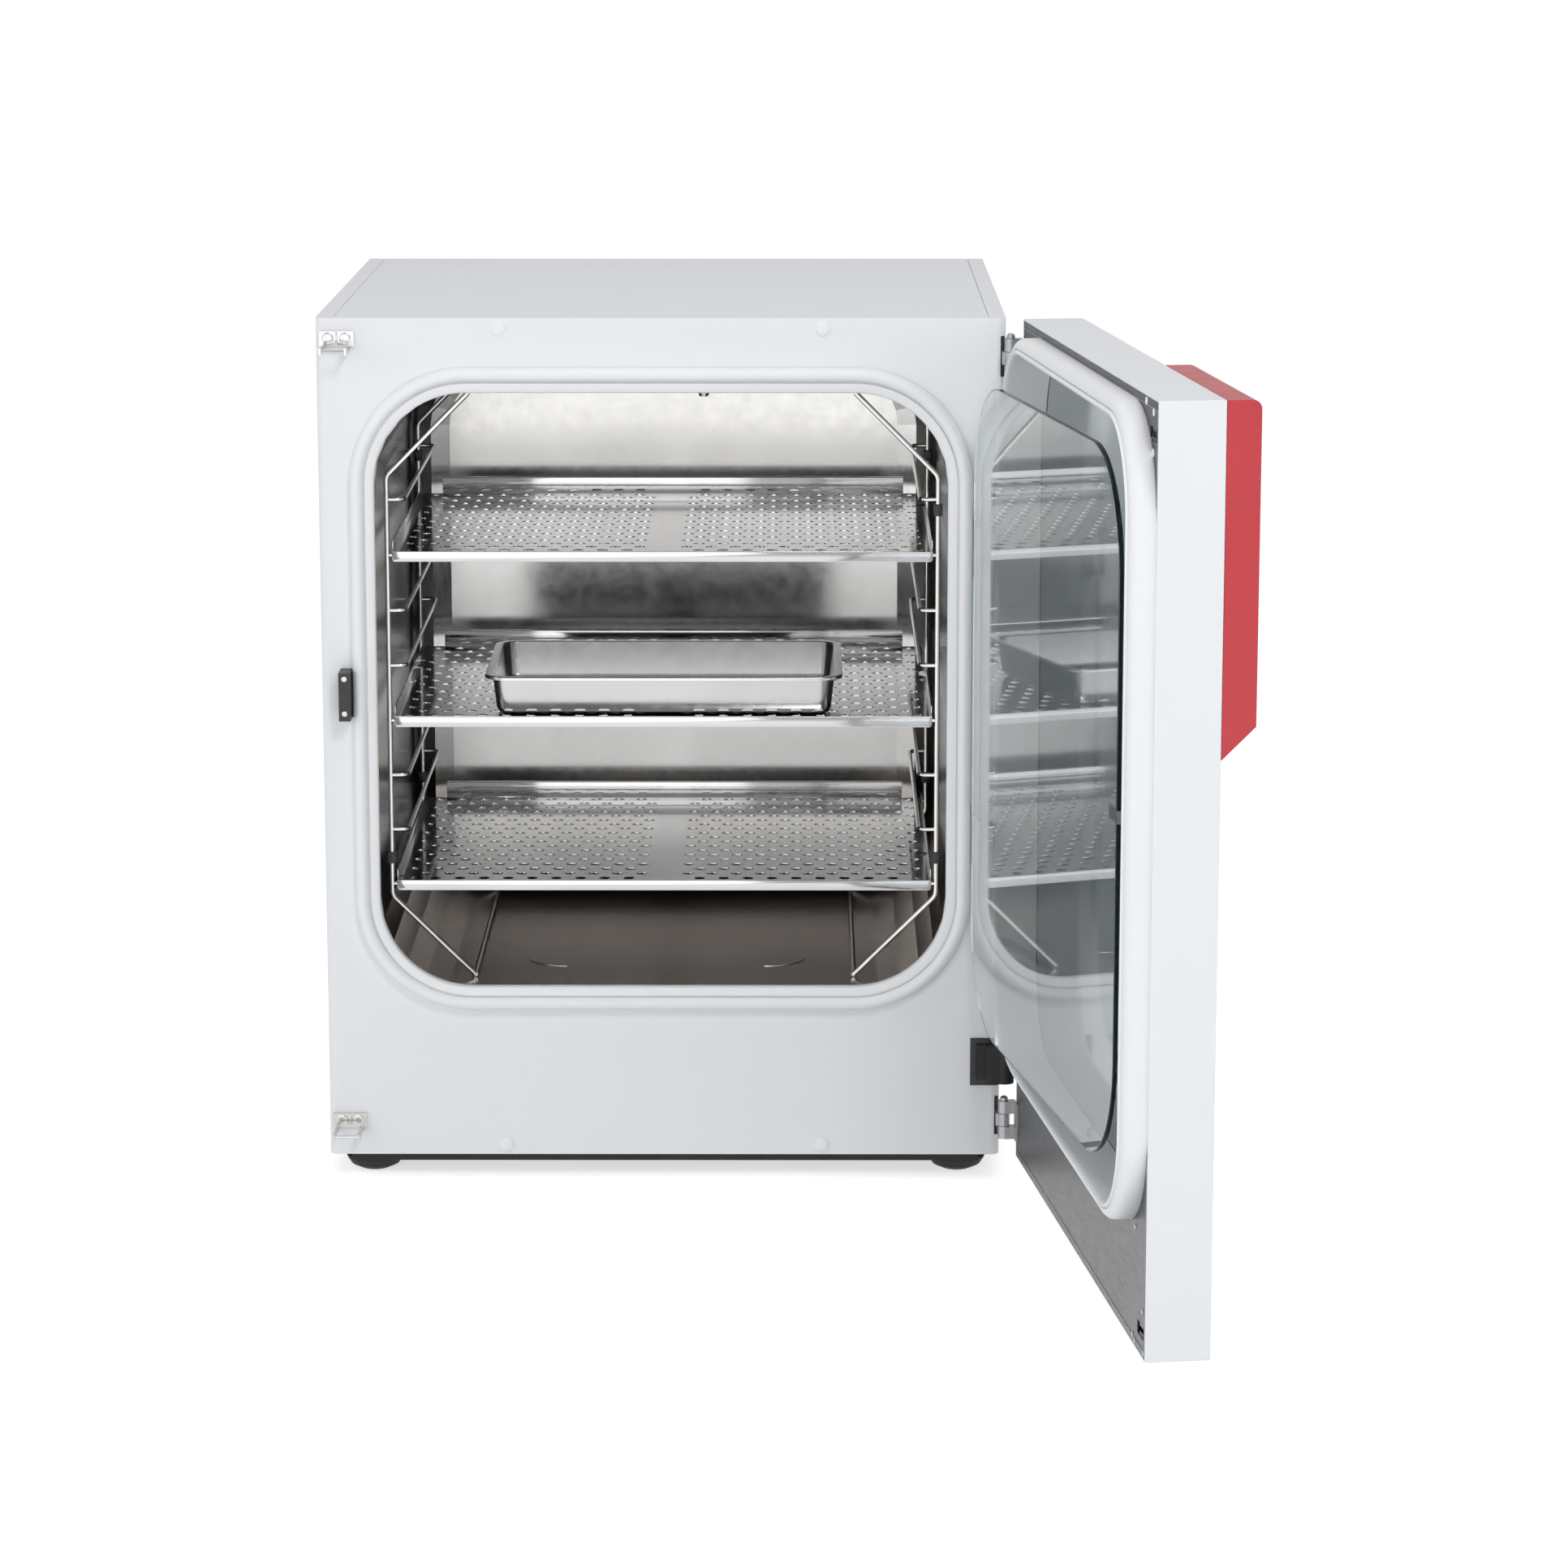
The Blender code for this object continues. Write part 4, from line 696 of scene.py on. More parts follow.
def rounded_path(points: Sequence[Point], radius: float, steps: int = 5) -> list[Vector]:
    """Points along straight runs whose corners are rounded.

    Args:
        points: Corners of the path.
        radius: Bend radius at each inner corner.
        steps: Points along each bend.

    Returns:
        The path's points.
    """
    corners = [Vector(point) for point in points]
    path = [corners[0]]
    for before, corner, after in zip(corners, corners[1:], corners[2:]):
        one, two = (before - corner).normalized(), (after - corner).normalized()
        half = one.angle(two) / 2
        reach = min(radius / math.tan(half), (before - corner).length * BEND_SHARE,
                    (after - corner).length * BEND_SHARE)
        for step in range(steps + 1):
            share = step / steps
            path.append((1 - share) ** 2 * (corner + one * reach)
                        + 2 * share * (1 - share) * corner
                        + share ** 2 * (corner + two * reach))
    return path + [corners[-1]]


def make_rod(name: str, points: Sequence[Vector], radius: float,
             resolution: int = 2) -> Piece:
    """Bend a round wire along a path.

    Args:
        name: The piece's name.
        points: The wire's centre line.
        radius: The wire's radius.
        resolution: Curve resolution around the wire.

    Returns:
        The wire as a mesh with closed ends.
    """
    rest_all()
    bpy.ops.curve.primitive_bezier_curve_add()
    wire = bpy.context.object
    wire.name = name
    line = wire.data
    line.splines.clear()
    spline = line.splines.new("POLY")
    spline.points.add(len(points) - 1)
    for slot, point in zip(spline.points, points):
        slot.co = (*point, 1)
    line.bevel_depth = radius
    line.bevel_resolution = resolution
    line.use_fill_caps = True
    activate(wire)
    bpy.ops.object.convert(target="MESH")
    return settle(bpy.context.object)


def dress(piece: Piece, body: Body, finish: Finish,
          stands_for: Sequence[str] = (), edge: Finish | None = None) -> None:
    """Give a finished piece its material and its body.

    Args:
        piece: The finished piece.
        body: The rigid body that carries it.
        finish: Its finish.
        stands_for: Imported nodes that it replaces.
        edge: A second finish for the faces in its second material slot.
    """
    piece.data.materials.clear()
    piece.data.materials.append(finish.material())
    if edge:
        piece.data.materials.append(edge.material())
    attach(piece, body.value)
    if stands_for:
        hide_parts(*stands_for)
    LOG.info("%s rides on %s", piece.name, body.value)


@dataclass(frozen=True)
class Screw:
    """Round screw head with a six-lobed recess.

    Its proportions are shares of the head's radius, or of its height where they go up
    or down.
    """

    name: str
    centre: Point
    facing: Facing
    head: Head
    chamfer: float = 0.16
    crown_rise: float = 0.35
    land: float = 0.30
    lobe_band: Pair = (0.85, 1.05)
    lobe_turns: Pair = (20.0, 50.0)
    lobe_pull: float = 0.74
    core: float = 0.1
    recess_wall: float = 0.03
    recess_depth: float = 0.9

    def build(self) -> Piece:
        """Model the screw head."""
        radius, height = self.head.value
        away = self.facing.away
        crown = Vector(self.centre) + away * height

        def between_lobes(place: Vector, _normal: Vector) -> bool:
            """Test for the corners between the recess's lobes."""
            side = self.facing.turn.inverted() @ (place - crown)
            share = side.xy.length / radius / (1 - self.chamfer - self.land)
            turn = math.degrees(math.atan2(side.y, side.x)) % 60
            return (self.lobe_band[0] < share < self.lobe_band[1]
                    and self.lobe_turns[0] < turn < self.lobe_turns[1])

        def in_recess(place: Vector, normal: Vector) -> bool:
            """Test for the face in the middle of the crown."""
            arm = place - crown
            return (normal.dot(away) > ALIGNED and arm.length < height
                    and arm.cross(away).length < radius * self.core)

        screw = make_disc(self.name, self.centre, self.facing, radius, height)
        choose(screw, Kind.FACES, looks(away))
        bpy.ops.mesh.inset(thickness=radius * self.chamfer,
                           depth=height * self.crown_rise)
        bpy.ops.mesh.inset(thickness=radius * self.land, depth=0)
        rest_all()
        choose(screw, Kind.CORNERS, between_lobes)
        bpy.ops.transform.resize(value=(self.lobe_pull,) * 3,
                                 center_override=crown + away * height * self.crown_rise)
        rest_all()
        choose(screw, Kind.FACES, in_recess)
        bpy.ops.mesh.inset(thickness=radius * self.recess_wall,
                           depth=-height * self.recess_depth)
        return smooth(close(screw), 30)


@dataclass(frozen=True)
class Hinge:
    """Upright hinge line of a door, and how far the door is open at rest."""

    place: Pair
    degrees: float

    def open(self, piece: Piece) -> Piece:
        """Turn a piece of the shut door to the rest pose.

        Args:
            piece: The piece, modelled on the shut door.

        Returns:
            The same piece.
        """
        foot = Matrix.Translation((*self.place, 0))
        piece.matrix_world = (foot @ Matrix.Rotation(math.radians(self.degrees), 4, "Z")
                              @ foot.inverted() @ piece.matrix_world)
        return settle(piece)


# The object's parts


@dataclass
class Cabinet:
    """Casing details: plug caps, screws, ribs, black strips of painted shade in the hinge
    slots and the back's louvres.
    """

    front: float = -0.320
    back: float = 0.320
    cap_radius: float = 0.0073
    cap_height: float = 0.0011
    cap_insets: tuple[Pair, ...] = ((0.14, 0.0006), (0.35, 0.0004))
    cap_places: tuple[Pair, ...] = ((-0.160, 0.8535), (0.160, 0.8535),
                                    (-0.160, 0.0225), (0.160, 0.0225))
    striker_left: float = -0.336
    striker_lows: tuple[tuple[str, float], ...] = (("upper", 0.836), ("lower", 0.0415))
    striker_screws: tuple[Point, ...] = ((0.0085, -0.0024, 0.0080),
                                         (0.0255, -0.0024, 0.0080))
    striker_rib: tuple[Point, Point] = ((0.0160, -0.0034, 0.001),
                                        (0.0180, -0.0023, 0.0142))
    catch_screws: tuple[Point, ...] = ((-0.31465, -0.3499, 0.5085),
                                       (-0.31465, -0.3499, 0.4735))
    # Heights of the hinge slots, and the box of the black strip that paints the shade inside
    # each slot.
    slot_lows: tuple[tuple[str, float], ...] = (("upper", 0.8065), ("lower", 0.0345))
    slot_shade_box: tuple[Point, Point] = ((0.3352, -0.3197, -0.0004),
                                       (0.3387, -0.3190, 0.0394))
    back_screws: tuple[tuple[tuple[float, ...], tuple[float, ...]], ...] = (
        ((-0.330, 0.330), (0.030, 0.235, 0.440, 0.645, 0.848)),
        ((-0.165, 0.0, 0.165), (0.024, 0.854)))
    louvre_columns: Pair = (-0.110, 0.110)
    louvre_low: float = 0.640
    louvre_pitch: float = 0.016
    louvres: int = 7
    louvre: tuple[Point, Point] = ((-0.060, -0.0002, 0.0), (0.060, 0.0018, 0.0075))
    louvre_lean: float = 0.0017

    def build(self) -> None:
        """Build and dress every casing detail."""
        self.plug_caps()
        self.striker_details()
        self.add_screws("catch_screw", self.catch_screws, Head.CATCH)
        self.hinge_slot_shade()
        self.back_screw_heads()
        self.back_louvres()

    def add_screws(self, name: str, places: Sequence[Point], head: Head,
                   first: int = 1) -> None:
        """Build and dress screws in the front.

        Args:
            name: Their name, without its number.
            places: Middles of their feet.
            head: The kind of head.
            first: The first one's number.
        """
        for number, place in enumerate(places, first):
            screw = Screw(f"{name}_{number}", place, Facing.FRONT, head).build()
            dress(screw, Body.CABINET, Finish.BRIGHT)

    def plug_caps(self) -> None:
        """Low domed plugs in the front sheet's corners."""
        x, z = self.cap_places[0]
        first = make_disc("front_plug_cap_1", (x, self.front - HAIR, z), Facing.FRONT,
                          self.cap_radius, self.cap_height, 32)
        choose(first, Kind.FACES, looks(Facing.FRONT.away))
        for share, rise in self.cap_insets:
            bpy.ops.mesh.inset(thickness=self.cap_radius * share, depth=rise)
        smooth(first, 50)
        dress(first, Body.CABINET, Finish.SILICONE)
        for number, (other_x, other_z) in enumerate(self.cap_places[1:], 2):
            twin = copied(first, f"front_plug_cap_{number}", (other_x - x, 0, other_z - z))
            dress(twin, Body.CABINET, Finish.SILICONE)

    def striker_details(self) -> None:
        """Two screws and a pressed rib on each striker."""
        for row, (name, low) in enumerate(self.striker_lows):
            corner = Vector((self.striker_left, self.front, low))
            places = [corner + Vector(place) for place in self.striker_screws]
            self.add_screws("striker_screw", places, Head.STRIKER, 1 + row * len(places))
            rib = make_block(f"{name}_striker_rib",
                             *(corner + Vector(place) for place in self.striker_rib))
            dress(soften(rib, 0.0005), Body.CABINET, Finish.BRIGHT)

    def hinge_slot_shade(self) -> None:
        """Black strip in the rubber finish behind each hinge slot, as painted shade for the
        slot's dark inside.
        """
        for name, low in self.slot_lows:
            strip = make_block(f"{name}_hinge_slot_shade_strip",
                               *(Vector(place) + Vector((0, 0, low))
                                 for place in self.slot_shade_box))
            dress(soften(strip, 0.0002), Body.CABINET, Finish.RUBBER)

    def back_screw_heads(self) -> None:
        """Screws round the back panel."""
        heads = [Screw("screw", (x, self.back - HAIR, z), Facing.BACK,
                       Head.BACK_PANEL).build()
                 for columns, heights in self.back_screws for x in columns for z in heights]
        screws = unite("back_panel_screws", *heads)
        dress(smooth(screws, 30), Body.CABINET, Finish.BRIGHT)

    def back_louvres(self) -> None:
        """Two columns of louvres, whose upper edges lean into the back panel."""
        ribs = []
        for x in self.louvre_columns:
            for step in range(self.louvres):
                foot = Vector((x, self.back, self.louvre_low + self.louvre_pitch * step))
                low, high = (foot + Vector(corner) for corner in self.louvre)
                rib = make_block("louvre", low, high)
                choose(rib, Kind.CORNERS, lambda place, _way: place.y > foot.y
                       and place.z > (low.z + high.z) / 2)
                bpy.ops.transform.translate(value=(0, -self.louvre_lean, 0))
                rest_all()
                ribs.append(soften(rib, 0.0006))
        louvres = unite("back_panel_louvres", *ribs)
        dress(louvres, Body.CABINET, Finish.WHITE)


@dataclass
class Chamber:
    """Gasket, wire racks and pressed marks of the chamber."""

    width: float = 0.568
    height: float = 0.601
    low: float = 0.190
    corner: float = 0.092
    face: float = -0.3203
    gasket: float = 0.0245
    spread: float = 0.275
    foot_spread: float = 0.192
    uprights: Pair = (-0.2865, 0.132)
    bends: Pair = (0.275, 0.703)
    ends: Pair = (0.193, 0.7867)
    upright_radius: float = 0.0027
    upright_bend: float = 0.012
    long_rod_radius: float = 0.0025
    rung_x: float = 0.2575
    rung_first: float = 0.2875
    rung_pitch: float = 0.056
    rungs: int = 8
    rung_radius: float = 0.0022
    rung_bend: float = 0.009
    clip_heights: Pair = (0.3085, 0.663)
    clip_half: float = 0.0045
    clip_height: float = 0.012
    arc_centre: Pair = (0.101, -0.198)
    arc_radius: float = 0.042
    arc_wire: float = 0.0006
    arc_steps: int = 12
    profile: tuple[Pair, ...] = (
        (0.0, 0.0055), (0.0012, 0.0048), (0.0028, 0.0032), (0.0035, 0.0012),
        (0.0035, -0.0012), (0.0021, -0.0026), (0.0007, -0.0042), (0.0009, 0.0),
        (0.0007, 0.0030), (0.0076, 0.0006), (0.0015, -0.0014), (0.0, -0.0087))

    def build(self) -> None:
        """Build and dress the chamber's pieces."""
        self.make_gasket()
        for side, name in ((-1, "left"), (1, "right")):
            self.make_rack(side, name)
            self.make_clips(side, name)
        for side, name in ((-1, "left"), (1, "right")):
            self.make_floor_arc(side, name)

    def make_gasket(self) -> None:
        """White gasket with a flat lip, a groove and a round bead."""
        grow = 2 * self.gasket
        ring = make_outline("chamber_gasket", (0, self.face, self.low + self.height / 2),
                            (self.width + grow, self.height + grow),
                            self.corner + self.gasket, Facing.FRONT, 20)
        contour(ring, self.profile)
        dress(smooth(ring, 50), Body.CABINET, Finish.SILICONE,
              ["chamber_seal"])

    def make_rack(self, side: int, name: str) -> None:
        """One rack of bent uprights, long rods and rungs.

        Args:
            side: -1 for the left rack and 1 for the right one.
            name: The side's word in the piece's name.
        """
        wall, foot, stop = (side * x for x in (self.spread, self.foot_spread, self.rung_x))
        bars = []
        for y in self.uprights:
            path = [(foot, y, self.ends[0]), (wall, y, self.bends[0]),
                    (wall, y, self.bends[1]), (foot, y, self.ends[1])]
            bars.append(make_rod("upright", rounded_path(path, self.upright_bend),
                                 self.upright_radius, 3))
        for height in self.ends:
            bars.append(make_rod("long_rod", [Vector((foot, y, height))
                                              for y in self.uprights],
                                 self.long_rod_radius, 3))
        front, rear = self.uprights
        for level in range(self.rungs):
            z = self.rung_first + level * self.rung_pitch
            path = [(wall, front, z), (stop, front, z), (stop, rear, z), (wall, rear, z)]
            bars.append(make_rod("rung", rounded_path(path, self.rung_bend),
                                 self.rung_radius))
        rack = unite(f"{name}_wire_rack", *bars)
        dress(smooth(rack, 60), Body.CABINET, Finish.WIRE,
              [f"{name}_rack"])

    def make_clips(self, side: int, name: str) -> None:
        """Black clips on a rack's uprights, of which the left front one has only one.

        Args:
            side: -1 for the left rack and 1 for the right one.
            name: The side's word in the piece's name.
        """
        front, rear = self.uprights
        low, high = self.clip_heights
        places = [(front, low), (rear, low), (rear, high)]
        if side > 0:
            places.append((front, high))
        for number, (y, z) in enumerate(places, 1):
            foot = Vector((side * self.spread, y, z))
            half = self.clip_half
            clip = make_block(f"{name}_rack_clip_{number}", foot - Vector((half, half, 0)),
                              foot + Vector((half, half, self.clip_height)))
            dress(soften(clip, 0.0015), Body.CABINET,
                  Finish.BLACK_MOULDED)

    def make_floor_arc(self, side: int, name: str) -> None:
        """One of the two quarter arcs that are pressed into the chamber's floor.

        Args:
            side: -1 for the left arc and 1 for the right one.
            name: The side's word in the piece's name.
        """
        x, y = self.arc_centre
        path = []
        for step in range(self.arc_steps + 1):
            turn = math.radians(-90 + side * 90 * step / self.arc_steps)
            path.append(Vector((side * x + self.arc_radius * math.cos(turn),
                                y + self.arc_radius * math.sin(turn), self.low + HAIR)))
        arc = make_rod(f"floor_arc_{name}", path, self.arc_wire, 1)
        dress(smooth(arc, 60), Body.CABINET, Finish.PAN)


@dataclass
class Shelf:
    """Perforated shelf with folded edges."""

    name: str
    body: Body
    top: float
    half_width: float = 0.27025
    front: float = -0.290
    back: float = 0.135
    sheet: float = 0.001
    hole: float = 0.0056
    hole_sides: int = 12
    collar: float = 1.6
    pitch: float = 0.0245
    row_pitch: float = 0.0222
    rows: int = 19
    columns: int = 10
    first_row: float = -0.2774
    starts: Pair = (0.0358, 0.0235)
    lip_overlap: float = 0.0005
    front_lip: float = 0.010
    front_fold: Pair = (-0.0002, 0.0012)
    front_rise: float = 0.0004
    front_rounding: float = 0.0025
    rear_lip: float = 0.018
    beads: tuple[Pair, ...] = ((0.5, 0.0007), (1.0, 0.0010))
    bead_inset: float = 0.8
    side_lip: float = 0.0108
    side_start: float = 0.006
    lip_inset: float = 0.021

    def build(self) -> None:
        """Build and dress the shelf."""
        plate = unite("plate", *self.make_rows(), *self.make_plain_strips())
        thicken(close(plate), self.sheet, even=False)
        shelf = unite(f"{self.name}_perforated", plate, self.make_front_lip(),
                      *self.make_raised_lips())
        dress(smooth(shelf, 30), self.body, Finish.SHELF, [self.name])

    def make_cell(self) -> Piece:
        """One hole in a rectangle of the sheet, with a ring of quads around it."""
        rest_all()
        bpy.ops.mesh.primitive_circle_add(vertices=self.hole_sides, radius=self.hole,
                                          fill_type="NOTHING",
                                          rotation=(0, 0, math.pi / self.hole_sides),
                                          location=(0, 0, self.top))
        cell = settle(bpy.context.object)
        choose(cell, Kind.EDGES, everything)
        bpy.ops.mesh.extrude_edges_move()
        bpy.ops.transform.resize(value=(self.collar, self.collar, 1),
                                 center_override=(0, 0, self.top))
        rest_all()
        for vertex in cell.data.vertices:
            if vertex.co.xy.length > self.hole * (1 + self.collar) / 2:
                reach = max(abs(vertex.co.x), abs(vertex.co.y))
                vertex.co.x *= self.pitch / 2 / reach
                vertex.co.y *= self.row_pitch / 2 / reach
        return cell

    def make_rows(self) -> list[Piece]:
        """Staggered rows of holes on both sides of the plain middle strip."""
        made = []
        for parity, start in enumerate(self.starts):
            for side in (-1, 1):
                cell = self.make_cell()
                cell.location = (side * start, self.first_row + parity * self.row_pitch, 0)
                settle(cell)
                repeat(cell, (side * self.pitch, 0, 0), self.columns)
                repeat(cell, (0, 2 * self.row_pitch, 0), (self.rows + 1 - parity) // 2)
                made.append(cell)
        return made

    def make_plain_strips(self) -> list[Piece]:
        """Flat strips between and around the fields of holes."""
        half_row, half_pitch = self.row_pitch / 2, self.pitch / 2
        low = self.first_row - half_row
        high = self.first_row + (self.rows - 0.5) * self.row_pitch
        spans = [(-self.half_width, self.half_width, self.front, low),
                 (-self.half_width, self.half_width, high, self.back)]
        for row in range(self.rows):
            start = self.starts[row % 2]
            y = self.first_row + row * self.row_pitch
            inner = start - half_pitch
            outer = start + (self.columns - 0.5) * self.pitch
            spans += [(-inner, inner, y - half_row, y + half_row),
                      (-self.half_width, -outer, y - half_row, y + half_row),
                      (outer, self.half_width, y - half_row, y + half_row)]
        return [make_outline("strip", ((left + right) / 2, (near + far) / 2, self.top),
                             (right - left, far - near), 0, Facing.UP)
                for left, right, near, far in spans]

    def make_front_lip(self) -> Piece:
        """Front edge folded down, with a round foot."""
        half, top = self.half_width, self.top
        near, far = (self.front + step for step in self.front_fold)
        lip = make_block("front_lip", (-half, near, top - self.front_lip),
                         (half, far, top + self.front_rise))
        choose(lip, Kind.EDGES, lambda place, way: abs(way.y) > ALIGNED
               and place.z < top - 0.5 * self.front_lip)
        bpy.ops.mesh.bevel(offset=self.front_rounding, segments=2)
        rest_all()
        return soften(lip, 0.0004)

    def make_raised_lips(self) -> list[Piece]:
        """Rear edge folded up with two beads, and side edges folded up."""
        half, top, sheet = self.half_width, self.top, self.sheet
        rear_half = half - self.lip_inset
        rear = make_block("rear_lip", (-rear_half, self.back - sheet, top - self.lip_overlap),
                          (rear_half, self.back, top + self.rear_lip))
        lips = [soften(rear, 0.0003)]
        y = self.back - sheet * self.bead_inset
        for share, radius in self.beads:
            z = top + share * self.rear_lip
            lips.append(make_rod("bead", [Vector((-rear_half, y, z)),
                                          Vector((rear_half, y, z))], radius))
        for side in (-1, 1):
            left, right = sorted((side * half, side * (half - sheet)))
            lip = make_block("side_lip",
                             (left, self.front + self.side_start, top - self.lip_overlap),
                             (right, self.back - self.lip_inset, top + self.side_lip))
            lips.append(soften(lip, 0.0003))
        return lips


SHELVES = (Shelf("shelf_top", Body.TOP_SHELF, 0.627),
           Shelf("shelf_middle", Body.MIDDLE_SHELF, 0.459),
           Shelf("shelf_bottom", Body.BOTTOM_SHELF, 0.291))


@dataclass
class WaterPan:
    """Deep-drawn pan with a flat turned rim, on the middle shelf.

    The rim's steps are lengths, and the wall's are a length and a share of the drop.
    """

    middle: Pair = (0.0, -0.175)
    rim_size: Pair = (0.361, 0.226)
    rim_corner: float = 0.024
    rim_top: float = 0.4993
    rim_height: float = 0.0032
    rim_drop: float = 0.0015
    floor: float = 0.4600
    sheet: float = 0.0008
    rim: tuple[Pair, ...] = ((0.0, 0.0022), (0.0003, 0.0007), (0.0007, 0.0003),
                             (0.0060, 0.0), (0.0012, -0.0004), (0.0006, -0.0011))
    wall: tuple[Pair, ...] = ((0.0036, 0.84), (0.0014, 0.08), (0.0026, 0.05),
                              (0.0050, 0.02))

    def build(self) -> None:
        """Build and dress the pan."""
        drop = self.rim_top - self.floor - self.rim_drop
        pan = make_outline("humidity_pan", (*self.middle, self.rim_top - self.rim_height),
                           self.rim_size, self.rim_corner, Facing.UP, 8)
        contour(pan, [*self.rim, *((inward, -drop * share) for inward, share in self.wall)],
                hole=False)
        thicken(pan, self.sheet)
        dress(smooth(pan, 40), Body.MIDDLE_SHELF, Finish.PAN,
              ["water_pan"])


@dataclass
class OuterDoor:
    """Ring, hem, screws and plugs on the outer door's inner side."""

    hinge: Hinge = Hinge((0.3441, -0.3342), 97.1)
    inner: float = -0.346
    crest: float = -0.3208
    recess: float = -0.366
    ring_size: Pair = (0.677, 0.7345)
    ring_corner: float = 0.100
    ring_middle: float = 0.48925
    ring_outside: float = 0.0128
    ring_inside: float = 0.0059
    crest_profile: tuple[Pair, ...] = (
        (0.0007, 0.0042), (0.0026, 0.0034), (0.0036, 0.0020), (0.0026, 0.0005),
        (0.0006, -0.0026), (0.0008, 0.0), (0.0005, 0.0034), (0.0014, 0.0013),
        (0.0018, -0.0003), (0.0013, -0.0020), (0.0006, -0.0030))
    hem_middle: Pair = (-0.0026, 0.4405)
    hem_size: Pair = (0.6692, 0.833)
    hem_corner: float = 0.002
    hem_profile: tuple[Pair, ...] = ((0.0, 0.0004), (0.0008, 0.0), (0.0, -0.0004))
    screws: tuple[Pair, ...] = ((-0.2916, 0.1267), (-0.3289, 0.0599), (-0.2854, 0.0257),
                                (-0.2955, 0.0228), (-0.335, 0.0234))
    plugs: tuple[Pair, ...] = ((-0.3202, 0.8184), (-0.2884, 0.8591), (-0.3211, 0.8533))
    plug_radius: float = 0.0036
    plug_height: float = 0.0009
    plug_inset: Pair = (0.001, 0.0004)

    def build(self) -> None:
        """Build and dress the outer door's pieces."""
        self.make_ring()
        self.make_hem()
        self.make_screws()
        self.make_plugs()

    def make_ring(self) -> None:
        """Deep white ring with a rounded crest around the polished panel."""
        rise = self.crest - self.inner
        ring = make_outline("door_liner_ring", (0, self.inner + HAIR, self.ring_middle),
                            self.ring_size, self.ring_corner, Facing.BACK, 20)
        contour(ring, [(0.0, rise - self.ring_outside), *self.crest_profile,
                       (0.0, self.recess + self.ring_inside - self.crest)])
        self.hinge.open(smooth(ring, 50))
        dress(ring, Body.OUTER_DOOR, Finish.SILICONE, ["door_ring"])

    def make_hem(self) -> None:
        """Folded hem that stands up along the inner sheet's rim."""
        x, z = self.hem_middle
        hem = make_outline("inner_sheet_hem", (x, self.inner + HAIR, z), self.hem_size,
                           self.hem_corner, Facing.BACK, 2)
        contour(hem, self.hem_profile)
        dress(self.hinge.open(hem), Body.OUTER_DOOR, Finish.HINGE)

    def make_screws(self) -> None:
        """Small screws in the inner sheet."""
        for number, (x, z) in enumerate(self.screws, 1):
            screw = Screw(f"inner_sheet_screw_{number}", (x, self.inner - HAIR, z),
                          Facing.BACK, Head.INNER_SHEET).build()
            dress(self.hinge.open(screw), Body.OUTER_DOOR, Finish.BRIGHT)

    def make_plugs(self) -> None:
        """White plugs in the inner sheet."""
        inward, rise = self.plug_inset
        for number, (x, z) in enumerate(self.plugs, 1):
            plug = make_disc(f"inner_sheet_plug_{number}", (x, self.inner - HAIR, z),
                             Facing.BACK, self.plug_radius, self.plug_height, 20)
            choose(plug, Kind.FACES, looks(Facing.BACK.away))
            bpy.ops.mesh.inset(thickness=inward, depth=rise)
            smooth(plug, 50)
            dress(self.hinge.open(plug), Body.OUTER_DOOR, Finish.SILICONE)


@dataclass
class GlassDoor:
    """Glass pane with ground green edges."""

    hinge: Hinge = Hinge((0.313, -0.3406), 100.1)
    sides: Pair = (-0.290, 0.309)
    ends: Pair = (0.162, 0.8085)
    back: float = -0.3356
    thickness: float = 0.005
    corner: float = 0.105
    ground_edge: float = 0.0009
    flat_cosine: float = 0.8

    def build(self) -> None:
        """Build and dress the pane, shaded flat but for its round corners."""
        middle = (sum(self.sides) / 2, self.back, sum(self.ends) / 2)
        size = tuple(high - low for low, high in (self.sides, self.ends))
        pane = make_outline("inner_glass", middle, size, self.corner, Facing.FRONT, 20)
        choose(pane, Kind.FACES, everything)
        bpy.ops.mesh.extrude_region_move(
            TRANSFORM_OT_translate={"value": (0, -self.thickness, 0)})
        close(pane)
        soften(pane, self.ground_edge, 60)
        smooth(pane, 8)
        self.hinge.open(pane)
        dress(pane, Body.GLASS_DOOR, Finish.GLASS, ["glass_pane"],
              Finish.GLASS_EDGE)
        turn = math.radians(self.hinge.degrees)
        outward = Vector((math.sin(turn), -math.cos(turn), 0))
        for face in pane.data.polygons:
            face.material_index = int(abs(face.normal.dot(outward)) < self.flat_cosine)


@dataclass(frozen=True)
class Lamp:
    """Square soft light that faces a point, with its edge length and its watts."""

    name: str
    place: Point
    target: Point
    size: float
    power: float

    def build(self) -> None:
        """Add the lamp."""
        rest_all()
        bpy.ops.object.light_add(type="AREA", location=self.place)
        lamp = bpy.context.object
        lamp.name = self.name
        lamp.data.size = self.size
        lamp.data.energy = self.power
        ahead = Vector(self.target) - Vector(self.place)
        lamp.rotation_euler = ahead.to_track_quat("-Z", "Y").to_euler()


